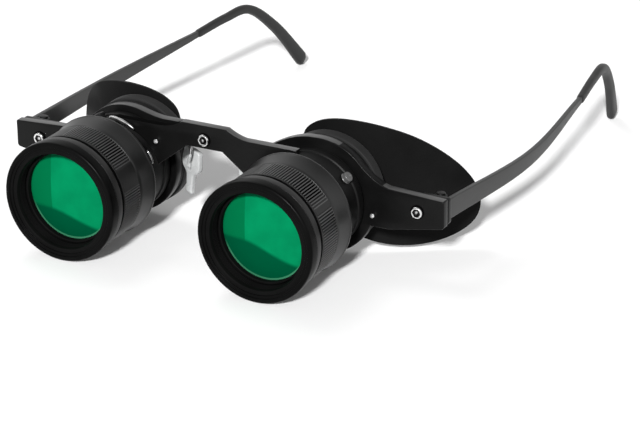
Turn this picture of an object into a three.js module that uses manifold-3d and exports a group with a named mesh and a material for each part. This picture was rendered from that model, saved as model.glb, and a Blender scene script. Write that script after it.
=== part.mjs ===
// Binocular glasses: two short telescopes on a spectacle frame with folding temples.
// Millimetres, +X to the wearer's left, +Y to the wearer's face, +Z up.
// Heights are measured from the barrels' axes and depths from the bridge plate's front face.
// The finished group is moved so that the origin is the middle of its base.
import * as THREE from 'three';
import { mergeVertices } from 'three/addons/utils/BufferGeometryUtils.js';
import Module from 'manifold-3d';

const wasm = await Module();
wasm.setup();

// Sizes that several pieces share
const frontWidth = 146;
const pupilDistance = 65.2;
const pupilTravel = 2;
const seatGap = 0.3;
const runGap = 0.3;
const cutOverrun = 2;
const weldDistance = 0.0001;
const roundSteps = 32;
const smallSteps = 14;

// Bridge plate: the raised front bar between the barrels
const bridge = {
  thickness: 2.4,
  crestHeight: 19.4,
  crestHalf: 7.5,
  shoulderHeight: 16.8,
  shoulderStart: 15.4,
  wingEnd: 30.6,
  notchHeight: 12.3,
  notchHalf: 5.9,
  slopeRun: 12,
  slopeDrop: 9.3,
  screwHeight: 15.1,
  setScrewSide: 16.3,
  setScrewHeight: 11.9,
};

// Spacer between the bridge plate and the frame plate, lower at the back
const spacer = {
  half: 5.6,
  frontBottom: 12.9,
  frontTop: 18,
  backBottom: 8.8,
  backTop: 14.6,
  screwLength: 5.5,
  backScrewSide: 3.4,
  backScrewHeight: 10.9,
  backScrewLength: 4,
};

// Frame plate: the long rear plate with an arch round each barrel
const frame = {
  front: 10,
  thickness: 2.8,
  archRadius: { left: 18, right: 17 },
  endTop: 5.3,
  endBottom: -3.5,
  rootTop: 6.2,
  rootBottom: -6.6,
  rootReach: 22.5,
  filletTurn: 46,
  filletSide: 17.2,
  filletHeight: 7.6,
  cornerRound: 1,
  bridgeTop: 12.6,
  bridgeBottom: 8.6,
  screwInset: 8.4,
  screwHeight: 0.7,
  setScrewReach: 17.7,
  setScrewHeight: -3,
};

// The webs that rise from the bridge bar to each arch: a foot, and a curve that meets the arch.
// The curve is given by how far its start, bend and end lie inside the barrel's axis, and their heights.
const web = {
  left: { foot: [], curve: [[16.6, 12.6], [8.1, 17.9], [2.1, 17.9]] },
  right: { foot: [[25.6, 12.6], [21.6, 14.8]], curve: [[13.1, 14.8], [10.1, 14.8], [4.6, 16.4]] },
};

// Barrel shell: guide tube, smooth band, body and the tail through the frame plate
const barrel = {
  bandFront: -12.2,
  bandBack: -4.9,
  bandFrontRadius: 17.6,
  bandBackRadius: 18.6,
  rimWidth: 0.6,
  bodyRadius: 14.8,
  tailRadius: 12.4,
  wall: 1.3,
  guideRadius: 16.3,
  guideFront: -24.6,
  guideWall: 0.8,
};

// Objective cell: hood, lens and retaining ring, which move along the axis together
const cell = {
  front: -29.3,
  hoodRadius: 18.5,
  hoodLength: 3.5,
  mouthRadius: 17,
  lipRound: 0.6,
  stepDepth: 0.35,
  stepWidth: 0.9,
  tubeWall: 0.6,
  tubeEnd: -16,
  lipWidth: 0.5,
  ringDepth: 4.7,
  ringLength: 1.8,
  ringWall: 0.7,
  lensEdge: 2.2,
  lensSag: 1.4,
};

// Focus ring: the grip that turns on the guide tube, ribbed in patches
const grip = {
  radius: 17.9,
  ribDepth: 0.45,
  patches: 4,
  ribsPerPatch: 7,
  patchShare: 0.72,
  sideGap: 0.35,
};

// Eyepiece behind the frame plate, with its lens, ring and soft cup
const eyepiece = {
  flangeRadius: 16.6,
  flangeLength: 2.4,
  tubeRadius: 9.9,
  tubeLength: 8.4,
  bore: 8.2,
  lensRadius: 9,
  lensEdge: 1.5,
  ringLength: 1.6,
  cupRadius: 17.3,
  cupWall: 1.5,
  cupFloor: 1.7,
  cupReach: 1.8,
};

// Side shade: a soft oval leaf behind each eyecup, swept back on the outside
const shade = {
  reach: 12.4,
  cupGap: 0.45,
  height: 0.3,
  halfLength: 26.6,
  halfWidth: 17.2,
  roundPower: 1.84,
  roll: -0.566,
  slope: 0.455,
  sweepRadius: 30.4,
  thickness: 1.4,
  holeRadius: 10.3,
  ringShares: [0.25, 0.55, 0.82, 1],
};

// Temple strip, which narrows to a tongue inside its sleeve
const temple = {
  thickness: 1.6,
  edgeBevel: 0.4,
  inset: 1.6,
  rootTop: 4,
  rootBottom: -2.4,
  midDepth: 68,
  midOut: 3.1,
  midLevel: -1.5,
  midHeight: 4.7,
  endDepth: 116,
  endOut: -1,
  endLevel: -0.1,
  endHeight: 2.1,
  tongueLength: 9,
  tongueWidth: 0.9,
  tongueHeight: 1,
  stations: 12,
};

// Temple sleeve: slim where it starts, dropping behind the ear to a broad tip
const sleeve = {
  startWidth: 2.5,
  startHeight: 2.7,
  tipWidth: 3.2,
  tipHeight: 5.4,
  edgeBevel: 0.5,
  apexDepth: 144.5,
  apexIn: 4.9,
  apexRise: 0.8,
  tipDepth: 172,
  tipIn: 11.8,
  tipDrop: 26.4,
  bowShare: 0.55,
  bowRise: 0.8,
  dropShare: 0.42,
  dropLag: 1.6,
  stations: 20,
};

// Hinge between the frame plate's end and the temple, leaning so that one temple folds over the other
const hinge = {
  leafThickness: 2.1,
  flangeGap: 4.2,
  leafTop: 5,
  leafBottom: -3.2,
  pinInset: 4.8,
  pinSetback: 2.5,
  pinRadius: 0.6,
  pinHead: 1.4,
  pinHeadHeight: 0.5,
  knuckleRadius: 1.9,
  knuckleHeight: 1.9,
  leanAngle: 3.2,
};

// Nose pads on short wire arms
const pad = {
  offset: 10.3,
  depth: 10.3,
  top: 7.2,
  waist: -1.6,
  bottom: -7.8,
  headWidth: 7.8,
  headOpening: 70,
  footWidth: 2.6,
  flareWidth: 3.1,
  flareHeight: 1.4,
  thickness: 1.9,
  yawAngle: 22,
  leanAngle: 9,
  armRadius: 0.5,
  armHeight: 10.4,
  armForward: 2.9,
  armSide: 8.9,
  holderWidth: 2.6,
  holderHeight: 3,
  holderDepth: 1,
  holderLevel: 2.4,
};

// Fasteners and the studs on the barrels
const screw = {
  headRadius: 1.75,
  headHeight: 0.7,
  socketRadius: 1,
  socketDepth: 0.45,
  socketSides: 6,
  shankRadius: 0.9,
};
const setScrew = {
  radius: 1,
  height: 0.5,
  slotWidth: 0.3,
  slotDepth: 0.25,
};
const stud = {
  radius: 1.3,
  height: 1.2,
  depth: 4.5,
  edge: 0.3,
  leftAngle: 39,
  rightAngle: 67,
};

// Places that follow from the sizes
const halfFront = frontWidth / 2;
const barrelOffset = pupilDistance / 2;
const frameBack = frame.front + frame.thickness;
const leafFront = frameBack + seatGap;
const leafBack = leafFront + hinge.leafThickness;
const leafInner = barrelOffset + pupilTravel + eyepiece.flangeRadius + hinge.flangeGap;
const pinX = halfFront - hinge.pinInset;
const pinY = leafBack + hinge.pinSetback;
const knucklePitch = hinge.knuckleHeight + runGap;
const templeX = halfFront - temple.inset;
const templeFront = leafBack + seatGap;
const templeLevel = (temple.rootTop + temple.rootBottom) / 2;
const endScrewX = halfFront - frame.screwInset;
const holeRadius = screw.shankRadius + seatGap;
const cellTubeRadius = barrel.guideRadius - barrel.guideWall - runGap;
const cellBore = cellTubeRadius - cell.tubeWall;
const ringFront = cell.front + cell.ringDepth;
const lensFront = ringFront + cell.ringLength + seatGap;
const lensSeat = lensFront + cell.lensEdge + seatGap;
const bodyBack = frame.front - seatGap;
const eyeTubeBack = leafFront + eyepiece.tubeLength;
const eyeRingFront = eyeTubeBack - eyepiece.ringLength - seatGap;
const eyeLensFront = eyeRingFront - seatGap - eyepiece.lensEdge;
const cupFront = leafFront + eyepiece.flangeLength + seatGap;
const cupBack = cupFront + eyepiece.cupFloor + eyepiece.cupReach;
const shadeDip = shade.slope ** 2 * shade.sweepRadius / 2;
const shadeDepth = cupBack + shade.cupGap + shade.thickness / 2 + shadeDip;

const finishes = {
  satinBlack: { color: 0x141414, roughness: 0.42, metalness: 0.2 },
  matteBlack: { color: 0x1b1b1c, roughness: 0.65, metalness: 0 },
  softBlack: { color: 0x262627, roughness: 0.9, metalness: 0 },
  templeGrey: { color: 0x2e2e30, roughness: 0.5, metalness: 0 },
  bandGrey: { color: 0x6d6d70, roughness: 0.4, metalness: 0.3 },
  chrome: { color: 0xd8d8da, roughness: 0.2, metalness: 1 },
  steel: { color: 0x9a9a9c, roughness: 0.35, metalness: 1 },
  green: { color: 0x00a566, roughness: 0.05, metalness: 0.1 },
  clear: { color: 0xe2e5e5, roughness: 0.25, metalness: 0 },
  paleGlass: { color: 0x6f857a, roughness: 0.08, metalness: 0 },
};

// Merges shared corners and drops the flat triangles that a turned pole leaves
function welded(geometry) {
  const copy = geometry.clone();
  copy.deleteAttribute('normal');
  copy.deleteAttribute('uv');
  const merged = mergeVertices(copy, weldDistance);
  const index = merged.index.array;
  const kept = [];
  for (let start = 0; start < index.length; start += 3) {
    const [a, b, c] = index.slice(start, start + 3);
    if (a !== b && b !== c && c !== a) {
      kept.push(a, b, c);
    }
  }
  merged.setIndex(kept);
  return merged;
}

function volumeOf(geometry) {
  const position = geometry.attributes.position;
  const index = geometry.index.array;
  const [a, b, c] = [0, 1, 2].map(() => new THREE.Vector3());
  let volume = 0;
  for (let start = 0; start < index.length; start += 3) {
    a.fromBufferAttribute(position, index[start]);
    b.fromBufferAttribute(position, index[start + 1]);
    c.fromBufferAttribute(position, index[start + 2]);
    volume += a.dot(b.cross(c));
  }
  return volume;
}

// The same closed body with every face pointing out
function outward(geometry) {
  const body = welded(geometry);
  if (volumeOf(body) < 0) {
    body.setIndex([...body.index.array].reverse());
  }
  return body;
}

function solid(geometry) {
  const source = outward(geometry);
  const mesh = new wasm.Mesh({
    numProp: 3,
    vertProperties: new Float32Array(source.attributes.position.array),
    triVerts: new Uint32Array(source.index.array),
  });
  return new wasm.Manifold(mesh);
}

function geometryOf(body) {
  const mesh = body.getMesh();
  const geometry = new THREE.BufferGeometry();
  geometry.setAttribute('position', new THREE.BufferAttribute(new Float32Array(mesh.vertProperties), 3));
  geometry.setIndex(new THREE.BufferAttribute(new Uint32Array(mesh.triVerts), 1));
  return geometry;
}

function joined(...geometries) {
  return geometryOf(geometries.map(solid).reduce((sum, body) => sum.add(body)));
}

function cut(geometry, ...tools) {
  return geometryOf(tools.map(solid).reduce((rest, tool) => rest.subtract(tool), solid(geometry)));
}

// Mirrors a left-hand piece for the right side
function handed(geometry, side) {
  return geometry.clone().scale(side, 1, 1);
}

function node(name, geometry, finish) {
  const body = outward(geometry);
  body.computeVertexNormals();
  const mesh = new THREE.Mesh(body, new THREE.MeshStandardMaterial(finishes[finish]));
  mesh.name = name;
  return mesh;
}

function block(low, high) {
  const size = high.map((value, axis) => value - low[axis]);
  const geometry = new THREE.BoxGeometry(...size);
  return geometry.translate(...low.map((value, axis) => value + size[axis] / 2));
}

function shapeOf(points) {
  return new THREE.Shape(points.map(([x, z]) => new THREE.Vector2(x, z)));
}

// A plate whose outline is drawn in X and Z, from one depth to another
function plate(points, from, to) {
  const geometry = new THREE.ExtrudeGeometry(shapeOf(points), { depth: to - from, bevelEnabled: false });
  geometry.rotateX(Math.PI / 2);
  return geometry.translate(0, to, 0);
}

function rodY(radius, from, to, steps = smallSteps) {
  const geometry = new THREE.CylinderGeometry(radius, radius, to - from, steps);
  return geometry.translate(0, (from + to) / 2, 0);
}

function rodZ(radius, low, high, steps = smallSteps) {
  const geometry = new THREE.CylinderGeometry(radius, radius, high - low, steps);
  geometry.rotateX(Math.PI / 2);
  return geometry.translate(0, 0, (low + high) / 2);
}

// A ring turned about Y from points of radius and depth
function ring(points, steps = roundSteps) {
  const profile = [...points, points[0]].map(([radius, depth]) => new THREE.Vector2(radius, depth));
  return new THREE.LatheGeometry(profile, steps);
}

// A disc turned about Y, whose first and last points lie on the axis
function disc(points, steps = roundSteps) {
  const profile = points.map(([radius, depth]) => new THREE.Vector2(radius, depth));
  return new THREE.LatheGeometry(profile, steps);
}

// A lens with a domed front, a straight edge and a flat back
function lens(radius, front, edge, sag, domeSteps) {
  const dome = shares(domeSteps).map((share) => [radius * share, front - sag * (1 - share * share)]);
  return disc([...dome, [radius, front + edge], [0, front + edge]]);
}

function tubeRing(outer, inner, from, to) {
  return ring([
    [inner, from],
    [outer, from],
    [outer, to],
    [inner, to],
  ]);
}

function shares(count) {
  return Array.from({ length: count + 1 }, (unused, index) => index / count);
}

function arc(centreX, centreZ, radius, fromDegrees, toDegrees, steps) {
  return shares(steps).map((share) => {
    const angle = THREE.MathUtils.degToRad(fromDegrees + (toDegrees - fromDegrees) * share);
    return [centreX + radius * Math.cos(angle), centreZ + radius * Math.sin(angle)];
  });
}

function quadratic(from, bend, to, steps = 6) {
  const curve = new THREE.QuadraticBezierCurve(...[from, bend, to].map(([x, z]) => new THREE.Vector2(x, z)));
  return curve.getPoints(steps).map((point) => [point.x, point.y]);
}

function bothSides(make) {
  return [-1, 1].map(make);
}

// The room that a round barrel takes as it slides, one for each side
function slots(radius, from, to) {
  const outer = arc(barrelOffset + pupilTravel, 0, radius, -90, 90, roundSteps / 2);
  const inner = arc(barrelOffset - pupilTravel, 0, radius, 90, 270, roundSteps / 2);
  return bothSides((side) => handed(plate([...outer, ...inner], from, to), side));
}

// A tube of changing section along a path: widths lie sideways, heights across the path
function swept(path, widths, heights, bevel) {
  const rings = path.map((point, index) => {
    const ahead = path[Math.min(index + 1, path.length - 1)];
    const behind = path[Math.max(index - 1, 0)];
    const along = ahead.clone().sub(behind).normalize();
    const sideways = new THREE.Vector3(1, 0, 0).addScaledVector(along, -along.x).normalize();
    const across = sideways.clone().cross(along).normalize();
    return sectionRing(point, sideways, across, widths[index] / 2, heights[index] / 2, bevel);
  });
  return lofted(rings);
}

function sectionRing(centre, sideways, across, halfWidth, halfHeight, bevel) {
  const corners = [[1, 1], [-1, 1], [-1, -1], [1, -1]];
  return corners.flatMap(([u, v], corner) => {
    const side = [u * halfWidth, v * (halfHeight - bevel)];
    const end = [u * (halfWidth - bevel), v * halfHeight];
    const pair = corner % 2 === 0 ? [side, end] : [end, side];
    return pair.map(([a, b]) => centre.clone().addScaledVector(sideways, a).addScaledVector(across, b));
  });
}

// Skins rings of equal length into one closed body with flat ends
function lofted(rings) {
  const count = rings[0].length;
  const index = [];
  for (let row = 0; row + 1 < rings.length; row += 1) {
    for (let column = 0; column < count; column += 1) {
      const a = row * count + column;
      const b = row * count + ((column + 1) % count);
      index.push(a, b, a + count, b, b + count, a + count);
    }
  }
  const last = (rings.length - 1) * count;
  for (let column = 1; column + 1 < count; column += 1) {
    index.push(0, column + 1, column);
    index.push(last, last + column, last + column + 1);
  }
  const geometry = new THREE.BufferGeometry().setFromPoints(rings.flat());
  geometry.setIndex(index);
  return geometry;
}

// Screw holes along Y
function bridgeScrewHole(from, to) {
  return rodY(holeRadius, from, to).translate(0, 0, bridge.screwHeight);
}

function endScrewHole(side, from, to) {
  return rodY(holeRadius, from, to).translate(side * endScrewX, 0, frame.screwHeight);
}

function backScrewHoles(from, to) {
  return bothSides((side) =>
    rodY(holeRadius, from, to).translate(side * spacer.backScrewSide, 0, spacer.backScrewHeight));
}

// Frame: bridge plate, frame plate and the spacer that joins them
function bridgePlate() {
  const foot = [bridge.notchHalf + bridge.slopeRun, bridge.notchHeight - bridge.slopeDrop];
  const shoulder = quadratic(
    [bridge.crestHalf, bridge.crestHeight],
    [(bridge.crestHalf + bridge.shoulderStart) / 2, bridge.shoulderHeight],
    [bridge.shoulderStart, bridge.shoulderHeight],
  );
  const half = [
    ...shoulder,
    [bridge.wingEnd, bridge.shoulderHeight],
    [bridge.wingEnd, 0],
    [foot[0], 0],
    foot,
    [bridge.notchHalf, bridge.notchHeight],
  ];
  const outline = [...half, ...half.slice().reverse().map(([x, z]) => [-x, z])];
  const back = bridge.thickness + cutOverrun;
  const room = slots(barrel.bodyRadius + runGap, -cutOverrun, back);
  return cut(plate(outline, 0, bridge.thickness), ...room, bridgeScrewHole(-cutOverrun, back));
}

function framePlateHalf(name) {
  const corner = frame.cornerRound;
  const root = barrelOffset + frame.rootReach;
  const inside = ([reach, height]) => [barrelOffset - reach, height];
  const fillet = quadratic(
    arc(barrelOffset, 0, frame.archRadius[name], frame.filletTurn, frame.filletTurn, 1)[0],
    [barrelOffset + frame.filletSide, frame.filletHeight],
    [root, frame.rootTop],
  );
  return [
    [0, frame.bridgeTop],
    ...web[name].foot.map(inside),
    ...quadratic(...web[name].curve.map(inside)),
    ...fillet,
    ...arc(halfFront - corner, frame.endTop - corner, corner, 90, 0, 4),
    ...arc(halfFront - corner, frame.endBottom + corner, corner, 0, -90, 4),
    [root, frame.rootBottom],
    [barrelOffset, frame.rootBottom],
    [barrelOffset, frame.bridgeBottom],
    [0, frame.bridgeBottom],
  ];
}

function framePlate() {
  const nameOf = (side) => (side > 0 ? 'left' : 'right');
  const bars = bothSides((side) => handed(plate(framePlateHalf(nameOf(side)), frame.front, frameBack), side));
  const arches = bothSides((side) =>
    rodY(frame.archRadius[nameOf(side)], frame.front, frameBack, 2 * roundSteps).translate(side * barrelOffset, 0, 0));
  const from = frame.front - cutOverrun;
  const to = frameBack + cutOverrun;
  const holes = [...backScrewHoles(from, to), ...bothSides((side) => endScrewHole(side, from, to))];
  return cut(joined(...bars, ...arches), ...slots(barrel.tailRadius + runGap, from, to), ...holes);
}

function bridgeSpacer() {
  const frontFace = bridge.thickness + seatGap;
  const backFace = frame.front - seatGap;
  const rectangle = (depth, bottom, top) => [
    new THREE.Vector3(-spacer.half, depth, bottom),
    new THREE.Vector3(spacer.half, depth, bottom),
    new THREE.Vector3(spacer.half, depth, top),
    new THREE.Vector3(-spacer.half, depth, top),
  ];
  const body = lofted([
    rectangle(frontFace, spacer.frontBottom, spacer.frontTop),
    rectangle(backFace, spacer.backBottom, spacer.backTop),
  ]);
  const frontHole = bridgeScrewHole(0, spacer.screwLength + seatGap);
  return cut(body, frontHole, ...backScrewHoles(frameBack - spacer.backScrewLength - 2 * seatGap, frameBack));
}

// A screw along Y, head in front, whose head rests on a face at depth zero
function frameScrew(length) {
  const front = -seatGap - screw.headHeight;
  const body = joined(
    rodY(screw.headRadius, front, -seatGap),
    rodY(screw.shankRadius, front + screw.headHeight / 2, length),
  );
  const socket = rodY(screw.socketRadius, front - cutOverrun, front + screw.socketDepth, screw.socketSides);
  return cut(body, socket);
}

function smallSetScrew() {
  const front = -seatGap - setScrew.height;
  const reach = setScrew.radius + cutOverrun;
  const groove = block(
    [-reach, front - cutOverrun, -setScrew.slotWidth / 2],
    [reach, front + setScrew.slotDepth, setScrew.slotWidth / 2],
  );
  return cut(rodY(setScrew.radius, front, -seatGap), groove);
}

function placed(mesh, x, y, z) {
  mesh.position.set(x, y, z);
  return mesh;
}

function frameNodes() {
  const group = new THREE.Group();
  group.add(node('frame_plate', framePlate(), 'satinBlack'));
  group.add(node('bridge_plate', bridgePlate(), 'satinBlack'));
  group.add(node('bridge_spacer', bridgeSpacer(), 'matteBlack'));
  const front = node('bridge_screw', frameScrew(spacer.screwLength), 'chrome');
  group.add(placed(front, 0, 0, bridge.screwHeight));
  const small = node('bridge_set_screw', smallSetScrew(), 'chrome');
  group.add(placed(small, -bridge.setScrewSide, 0, bridge.setScrewHeight));
  return group;
}

// Hinge: the leaf behind each end of the frame plate carries two knuckles
function leaned(geometry, side) {
  const lean = THREE.MathUtils.degToRad(hinge.leanAngle) * side;
  return geometry.rotateY(lean).translate(pinX, pinY, templeLevel);
}

function knuckle(level, side) {
  const half = hinge.knuckleHeight / 2;
  return leaned(rodZ(hinge.knuckleRadius, level - half, level + half), side);
}

function knuckleArm(level, side) {
  const half = hinge.knuckleHeight / 2;
  const reach = hinge.pinSetback + hinge.leafThickness / 2;
  const arm = block(
    [-hinge.knuckleRadius, -reach, level - half],
    [hinge.knuckleRadius, 0, level + half],
  );
  return leaned(arm, side);
}

function pinBore(side) {
  return leaned(rodZ(hinge.pinRadius + seatGap, -2 * knucklePitch, 2 * knucklePitch), side);
}

function hingeLeaf(side) {
  const corner = frame.cornerRound;
  const outline = [
    [leafInner, hinge.leafTop],
    ...arc(halfFront - corner, hinge.leafTop - corner, corner, 90, 0, 3),
    ...arc(halfFront - corner, hinge.leafBottom + corner, corner, 0, -90, 3),
    [leafInner, hinge.leafBottom],
  ];
  const leaf = plate(outline, leafFront, leafBack);
  const parts = [-knucklePitch, knucklePitch].flatMap((level) => [knuckle(level, side), knuckleArm(level, side)]);
  const hole = endScrewHole(1, leafFront - cutOverrun, leafBack + cutOverrun);
  return cut(joined(leaf, ...parts), pinBore(side), hole);
}

function hingePin(side) {
  const top = knucklePitch + hinge.knuckleHeight / 2;
  const headBottom = top + seatGap;
  const shank = rodZ(hinge.pinRadius, -top, headBottom + hinge.pinHeadHeight / 2);
  const head = rodZ(hinge.pinHead, headBottom, headBottom + hinge.pinHeadHeight);
  return leaned(joined(shank, head), side);
}

// Temple
function templePath(share) {
  const curve = new THREE.CatmullRomCurve3([
    new THREE.Vector3(templeX, templeFront, templeLevel),
    new THREE.Vector3(templeX + temple.midOut, temple.midDepth, temple.midLevel),
    new THREE.Vector3(templeX + temple.endOut, temple.endDepth, temple.endLevel),
  ]);
  return curve.getPoint(share);
}

function templeHeight(share) {
  const root = temple.rootTop - temple.rootBottom;
  const bend = 2 * temple.midHeight - (root + temple.endHeight) / 2;
  return root * (1 - share) ** 2 + 2 * bend * share * (1 - share) + temple.endHeight * share ** 2;
}

function sleeveCurve() {
  const start = templePath(1);
  const apex = new THREE.Vector3(templeX - sleeve.apexIn, sleeve.apexDepth, temple.endLevel + sleeve.apexRise);
  const tip = new THREE.Vector3(templeX - sleeve.tipIn, sleeve.tipDepth, -sleeve.tipDrop);
  const bow = start.clone().lerp(apex, sleeve.bowShare);
  bow.z += sleeve.bowRise;
  const drop = apex.clone().lerp(tip, sleeve.dropShare);
  drop.y += sleeve.dropLag;
  drop.z += sleeve.dropLag;
  return new THREE.CatmullRomCurve3([start, bow, apex, drop, tip]);
}

// The tongue, or with a clearance the room for it in the sleeve
function tongue(clearance) {
  const curve = sleeveCurve();
  const middle = templePath(1);
  const end = curve.getPointAt((temple.tongueLength + clearance) / curve.getLength());
  const behind = templePath(1 - 1 / temple.stations);
  const widths = Array(3).fill(temple.tongueWidth + 2 * clearance);
  const heights = Array(3).fill(temple.tongueHeight + 2 * clearance);
  return swept([behind, middle, end], widths, heights, temple.tongueWidth / 4);
}

function templeStrip(side) {
  const steps = shares(temple.stations);
  const widths = steps.map(() => temple.thickness);
  const strip = swept(steps.map(templePath), widths, steps.map(templeHeight), temple.edgeBevel);
  const half = hinge.knuckleHeight / 2;
  const arm = leaned(block([0, -hinge.knuckleRadius, -half], [templeX - pinX, hinge.knuckleRadius, half]), side);
  return cut(joined(strip, knuckle(0, side), arm, tongue(0)), pinBore(side));
}

function templeSleeve() {
  const curve = sleeveCurve();
  const first = seatGap / curve.getLength();
  const steps = shares(sleeve.stations).map((share) => first + (1 - first) * share);
  const lastHalf = (size, index) => (index === sleeve.stations ? size / 2 : size);
  const widths = steps.map((share) => sleeve.startWidth + (sleeve.tipWidth - sleeve.startWidth) * share);
  const heights = steps.map((share) => sleeve.startHeight + (sleeve.tipHeight - sleeve.startHeight) * share ** 2);
  const path = steps.map((share) => curve.getPointAt(share));
  return cut(swept(path, widths.map(lastHalf), heights.map(lastHalf), sleeve.edgeBevel), tongue(seatGap));
}

function templeNodes(side, name) {
  const group = new THREE.Group();
  group.add(node(`${name}_hinge_leaf`, handed(hingeLeaf(side), side), 'matteBlack'));
  group.add(node(`${name}_hinge_pin`, handed(hingePin(side), side), 'steel'));
  group.add(node(`${name}_temple`, handed(templeStrip(side), side), 'templeGrey'));
  group.add(node(`${name}_temple_sleeve`, handed(templeSleeve(), side), 'softBlack'));
  return group;
}

// Fasteners on each side of the frame
function sideScrews(side, name) {
  const group = new THREE.Group();
  const end = node(`${name}_end_screw`, frameScrew(leafBack - frame.front), 'chrome');
  group.add(placed(end, side * endScrewX, frame.front, frame.screwHeight));
  const low = node(`${name}_end_set_screw`, smallSetScrew(), 'chrome');
  group.add(placed(low, side * (barrelOffset + frame.setScrewReach), frame.front, frame.setScrewHeight));
  const back = node(`${name}_spacer_screw`, frameScrew(spacer.backScrewLength), 'steel');
  back.rotation.z = Math.PI;
  group.add(placed(back, side * spacer.backScrewSide, frameBack, spacer.backScrewHeight));
  return group;
}

// Barrel pieces, turned about the barrel's own axis
function barrelShell() {
  const stop = cell.tubeEnd + seatGap;
  const guideBore = barrel.guideRadius - barrel.guideWall;
  const bodyBore = barrel.bodyRadius - barrel.wall;
  const tailBore = barrel.tailRadius - barrel.wall;
  return ring([
    [guideBore, barrel.guideFront],
    [barrel.guideRadius, barrel.guideFront],
    [barrel.guideRadius, barrel.bandFront],
    [barrel.bandFrontRadius, barrel.bandFront],
    [barrel.bandBackRadius, barrel.bandBack - barrel.rimWidth],
    [barrel.bandBackRadius, barrel.bandBack],
    [barrel.bodyRadius, barrel.bandBack + barrel.rimWidth],
    [barrel.bodyRadius, bodyBack],
    [barrel.tailRadius, bodyBack],
    [barrel.tailRadius, leafFront],
    [tailBore, leafFront],
    [tailBore, bodyBack - barrel.wall],
    [bodyBore, bodyBack - barrel.wall],
    [bodyBore, stop],
    [guideBore, stop],
  ]);
}

function gripOutline() {
  const patchTurn = (2 * Math.PI) / grip.patches;
  const ribTurn = (patchTurn * grip.patchShare) / grip.ribsPerPatch;
  const valley = grip.radius - grip.ribDepth;
  const points = [];
  const put = (angle, radius) => points.push([radius * Math.cos(angle), radius * Math.sin(angle)]);
  for (let patch = 0; patch < grip.patches; patch += 1) {
    for (let rib = 0; rib < grip.ribsPerPatch; rib += 1) {
      const start = patch * patchTurn + rib * ribTurn;
      put(start, valley);
      put(start + ribTurn / 4, grip.radius);
      put(start + (ribTurn * 3) / 4, grip.radius);
    }
    const smooth = patch * patchTurn + grip.ribsPerPatch * ribTurn;
    const rest = patchTurn * (1 - grip.patchShare);
    shares(3).slice(0, -1).forEach((share) => put(smooth + rest * share, valley));
  }
  return points;
}

function focusRing() {
  const from = cell.front + cell.hoodLength + grip.sideGap;
  const to = barrel.bandFront - grip.sideGap;
  const bore = rodY(barrel.guideRadius + runGap, from - cutOverrun, to + cutOverrun, roundSteps);
  return cut(plate(gripOutline(), from, to), bore);
}

function objectiveCell() {
  const back = cell.front + cell.hoodLength;
  const lip = cellBore - cell.lipWidth;
  const step = cell.mouthRadius - cell.stepWidth;
  return ring([
    [cell.mouthRadius, cell.front],
    [cell.hoodRadius - cell.lipRound, cell.front],
    [cell.hoodRadius, cell.front + cell.lipRound],
    [cell.hoodRadius, back],
    [cellTubeRadius, back],
    [cellTubeRadius, cell.tubeEnd],
    [lip, cell.tubeEnd],
    [lip, lensSeat],
    [cellBore, lensSeat],
    [cellBore, cell.front + 2 * cell.stepDepth],
    [step, cell.front + 2 * cell.stepDepth],
    [step, cell.front + cell.stepDepth],
    [cell.mouthRadius, cell.front + cell.stepDepth],
  ]);
}

function eyepieceHousing() {
  const lensBore = eyepiece.lensRadius + seatGap;
  const pocket = eyeLensFront - seatGap;
  const flangeFront = leafFront + seatGap;
  const flangeBack = leafFront + eyepiece.flangeLength;
  return ring([
    [eyepiece.bore, flangeFront],
    [eyepiece.flangeRadius, flangeFront],
    [eyepiece.flangeRadius, flangeBack],
    [eyepiece.tubeRadius, flangeBack],
    [eyepiece.tubeRadius, eyeTubeBack],
    [lensBore, eyeTubeBack],
    [lensBore, pocket],
    [eyepiece.bore, pocket],
  ]);
}

function eyecup() {
  const floor = cupFront + eyepiece.cupFloor;
  const bore = eyepiece.tubeRadius + seatGap;
  const inner = eyepiece.cupRadius - eyepiece.cupWall;
  return ring([
    [bore, cupFront],
    [eyepiece.cupRadius, cupFront],
    [eyepiece.cupRadius, cupBack],
    [inner, cupBack],
    [inner - eyepiece.cupReach, floor],
    [bore, floor],
  ]);
}

// A lock stud that stands out from the barrel's body
function lockStud(angle) {
  const base = barrel.bodyRadius + seatGap;
  const top = base + stud.height;
  const geometry = disc([
    [0, base],
    [stud.radius, base],
    [stud.radius, top - stud.edge],
    [stud.radius - stud.edge, top],
    [0, top],
  ], smallSteps);
  geometry.rotateZ(-Math.PI / 2).rotateY(-THREE.MathUtils.degToRad(angle));
  return geometry.translate(0, stud.depth, 0);
}

// Side shade: a superellipse rolled about Y and bent backwards away from the nose
function shadePoint(turn, scale, back) {
  const spread = (value) => Math.sign(value) * Math.abs(value) ** (2 / shade.roundPower);
  const u = shade.halfLength * scale * spread(Math.cos(turn));
  const w = shade.halfWidth * scale * spread(Math.sin(turn));
  const x = u * Math.cos(shade.roll) - w * Math.sin(shade.roll);
  const z = u * Math.sin(shade.roll) + w * Math.cos(shade.roll);
  const y = shade.slope * x + x ** 2 / (2 * shade.sweepRadius) + shadeDepth + back;
  return new THREE.Vector3(shade.reach + x, y, shade.height + z);
}

function sideShade() {
  const turns = shares(roundSteps).slice(0, -1).map((share) => 2 * Math.PI * share);
  const half = shade.thickness / 2;
  const scales = [0, ...shade.ringShares];
  const front = scales.map((scale) => turns.map((turn) => shadePoint(turn, scale, -half)));
  const back = scales.map((scale) => turns.map((turn) => shadePoint(turn, scale, half)));
  const hole = rodY(shade.holeRadius, 0, shadeDepth + shade.halfLength, roundSteps);
  return cut(lofted([...front, ...back.reverse()]), hole);
}

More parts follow.
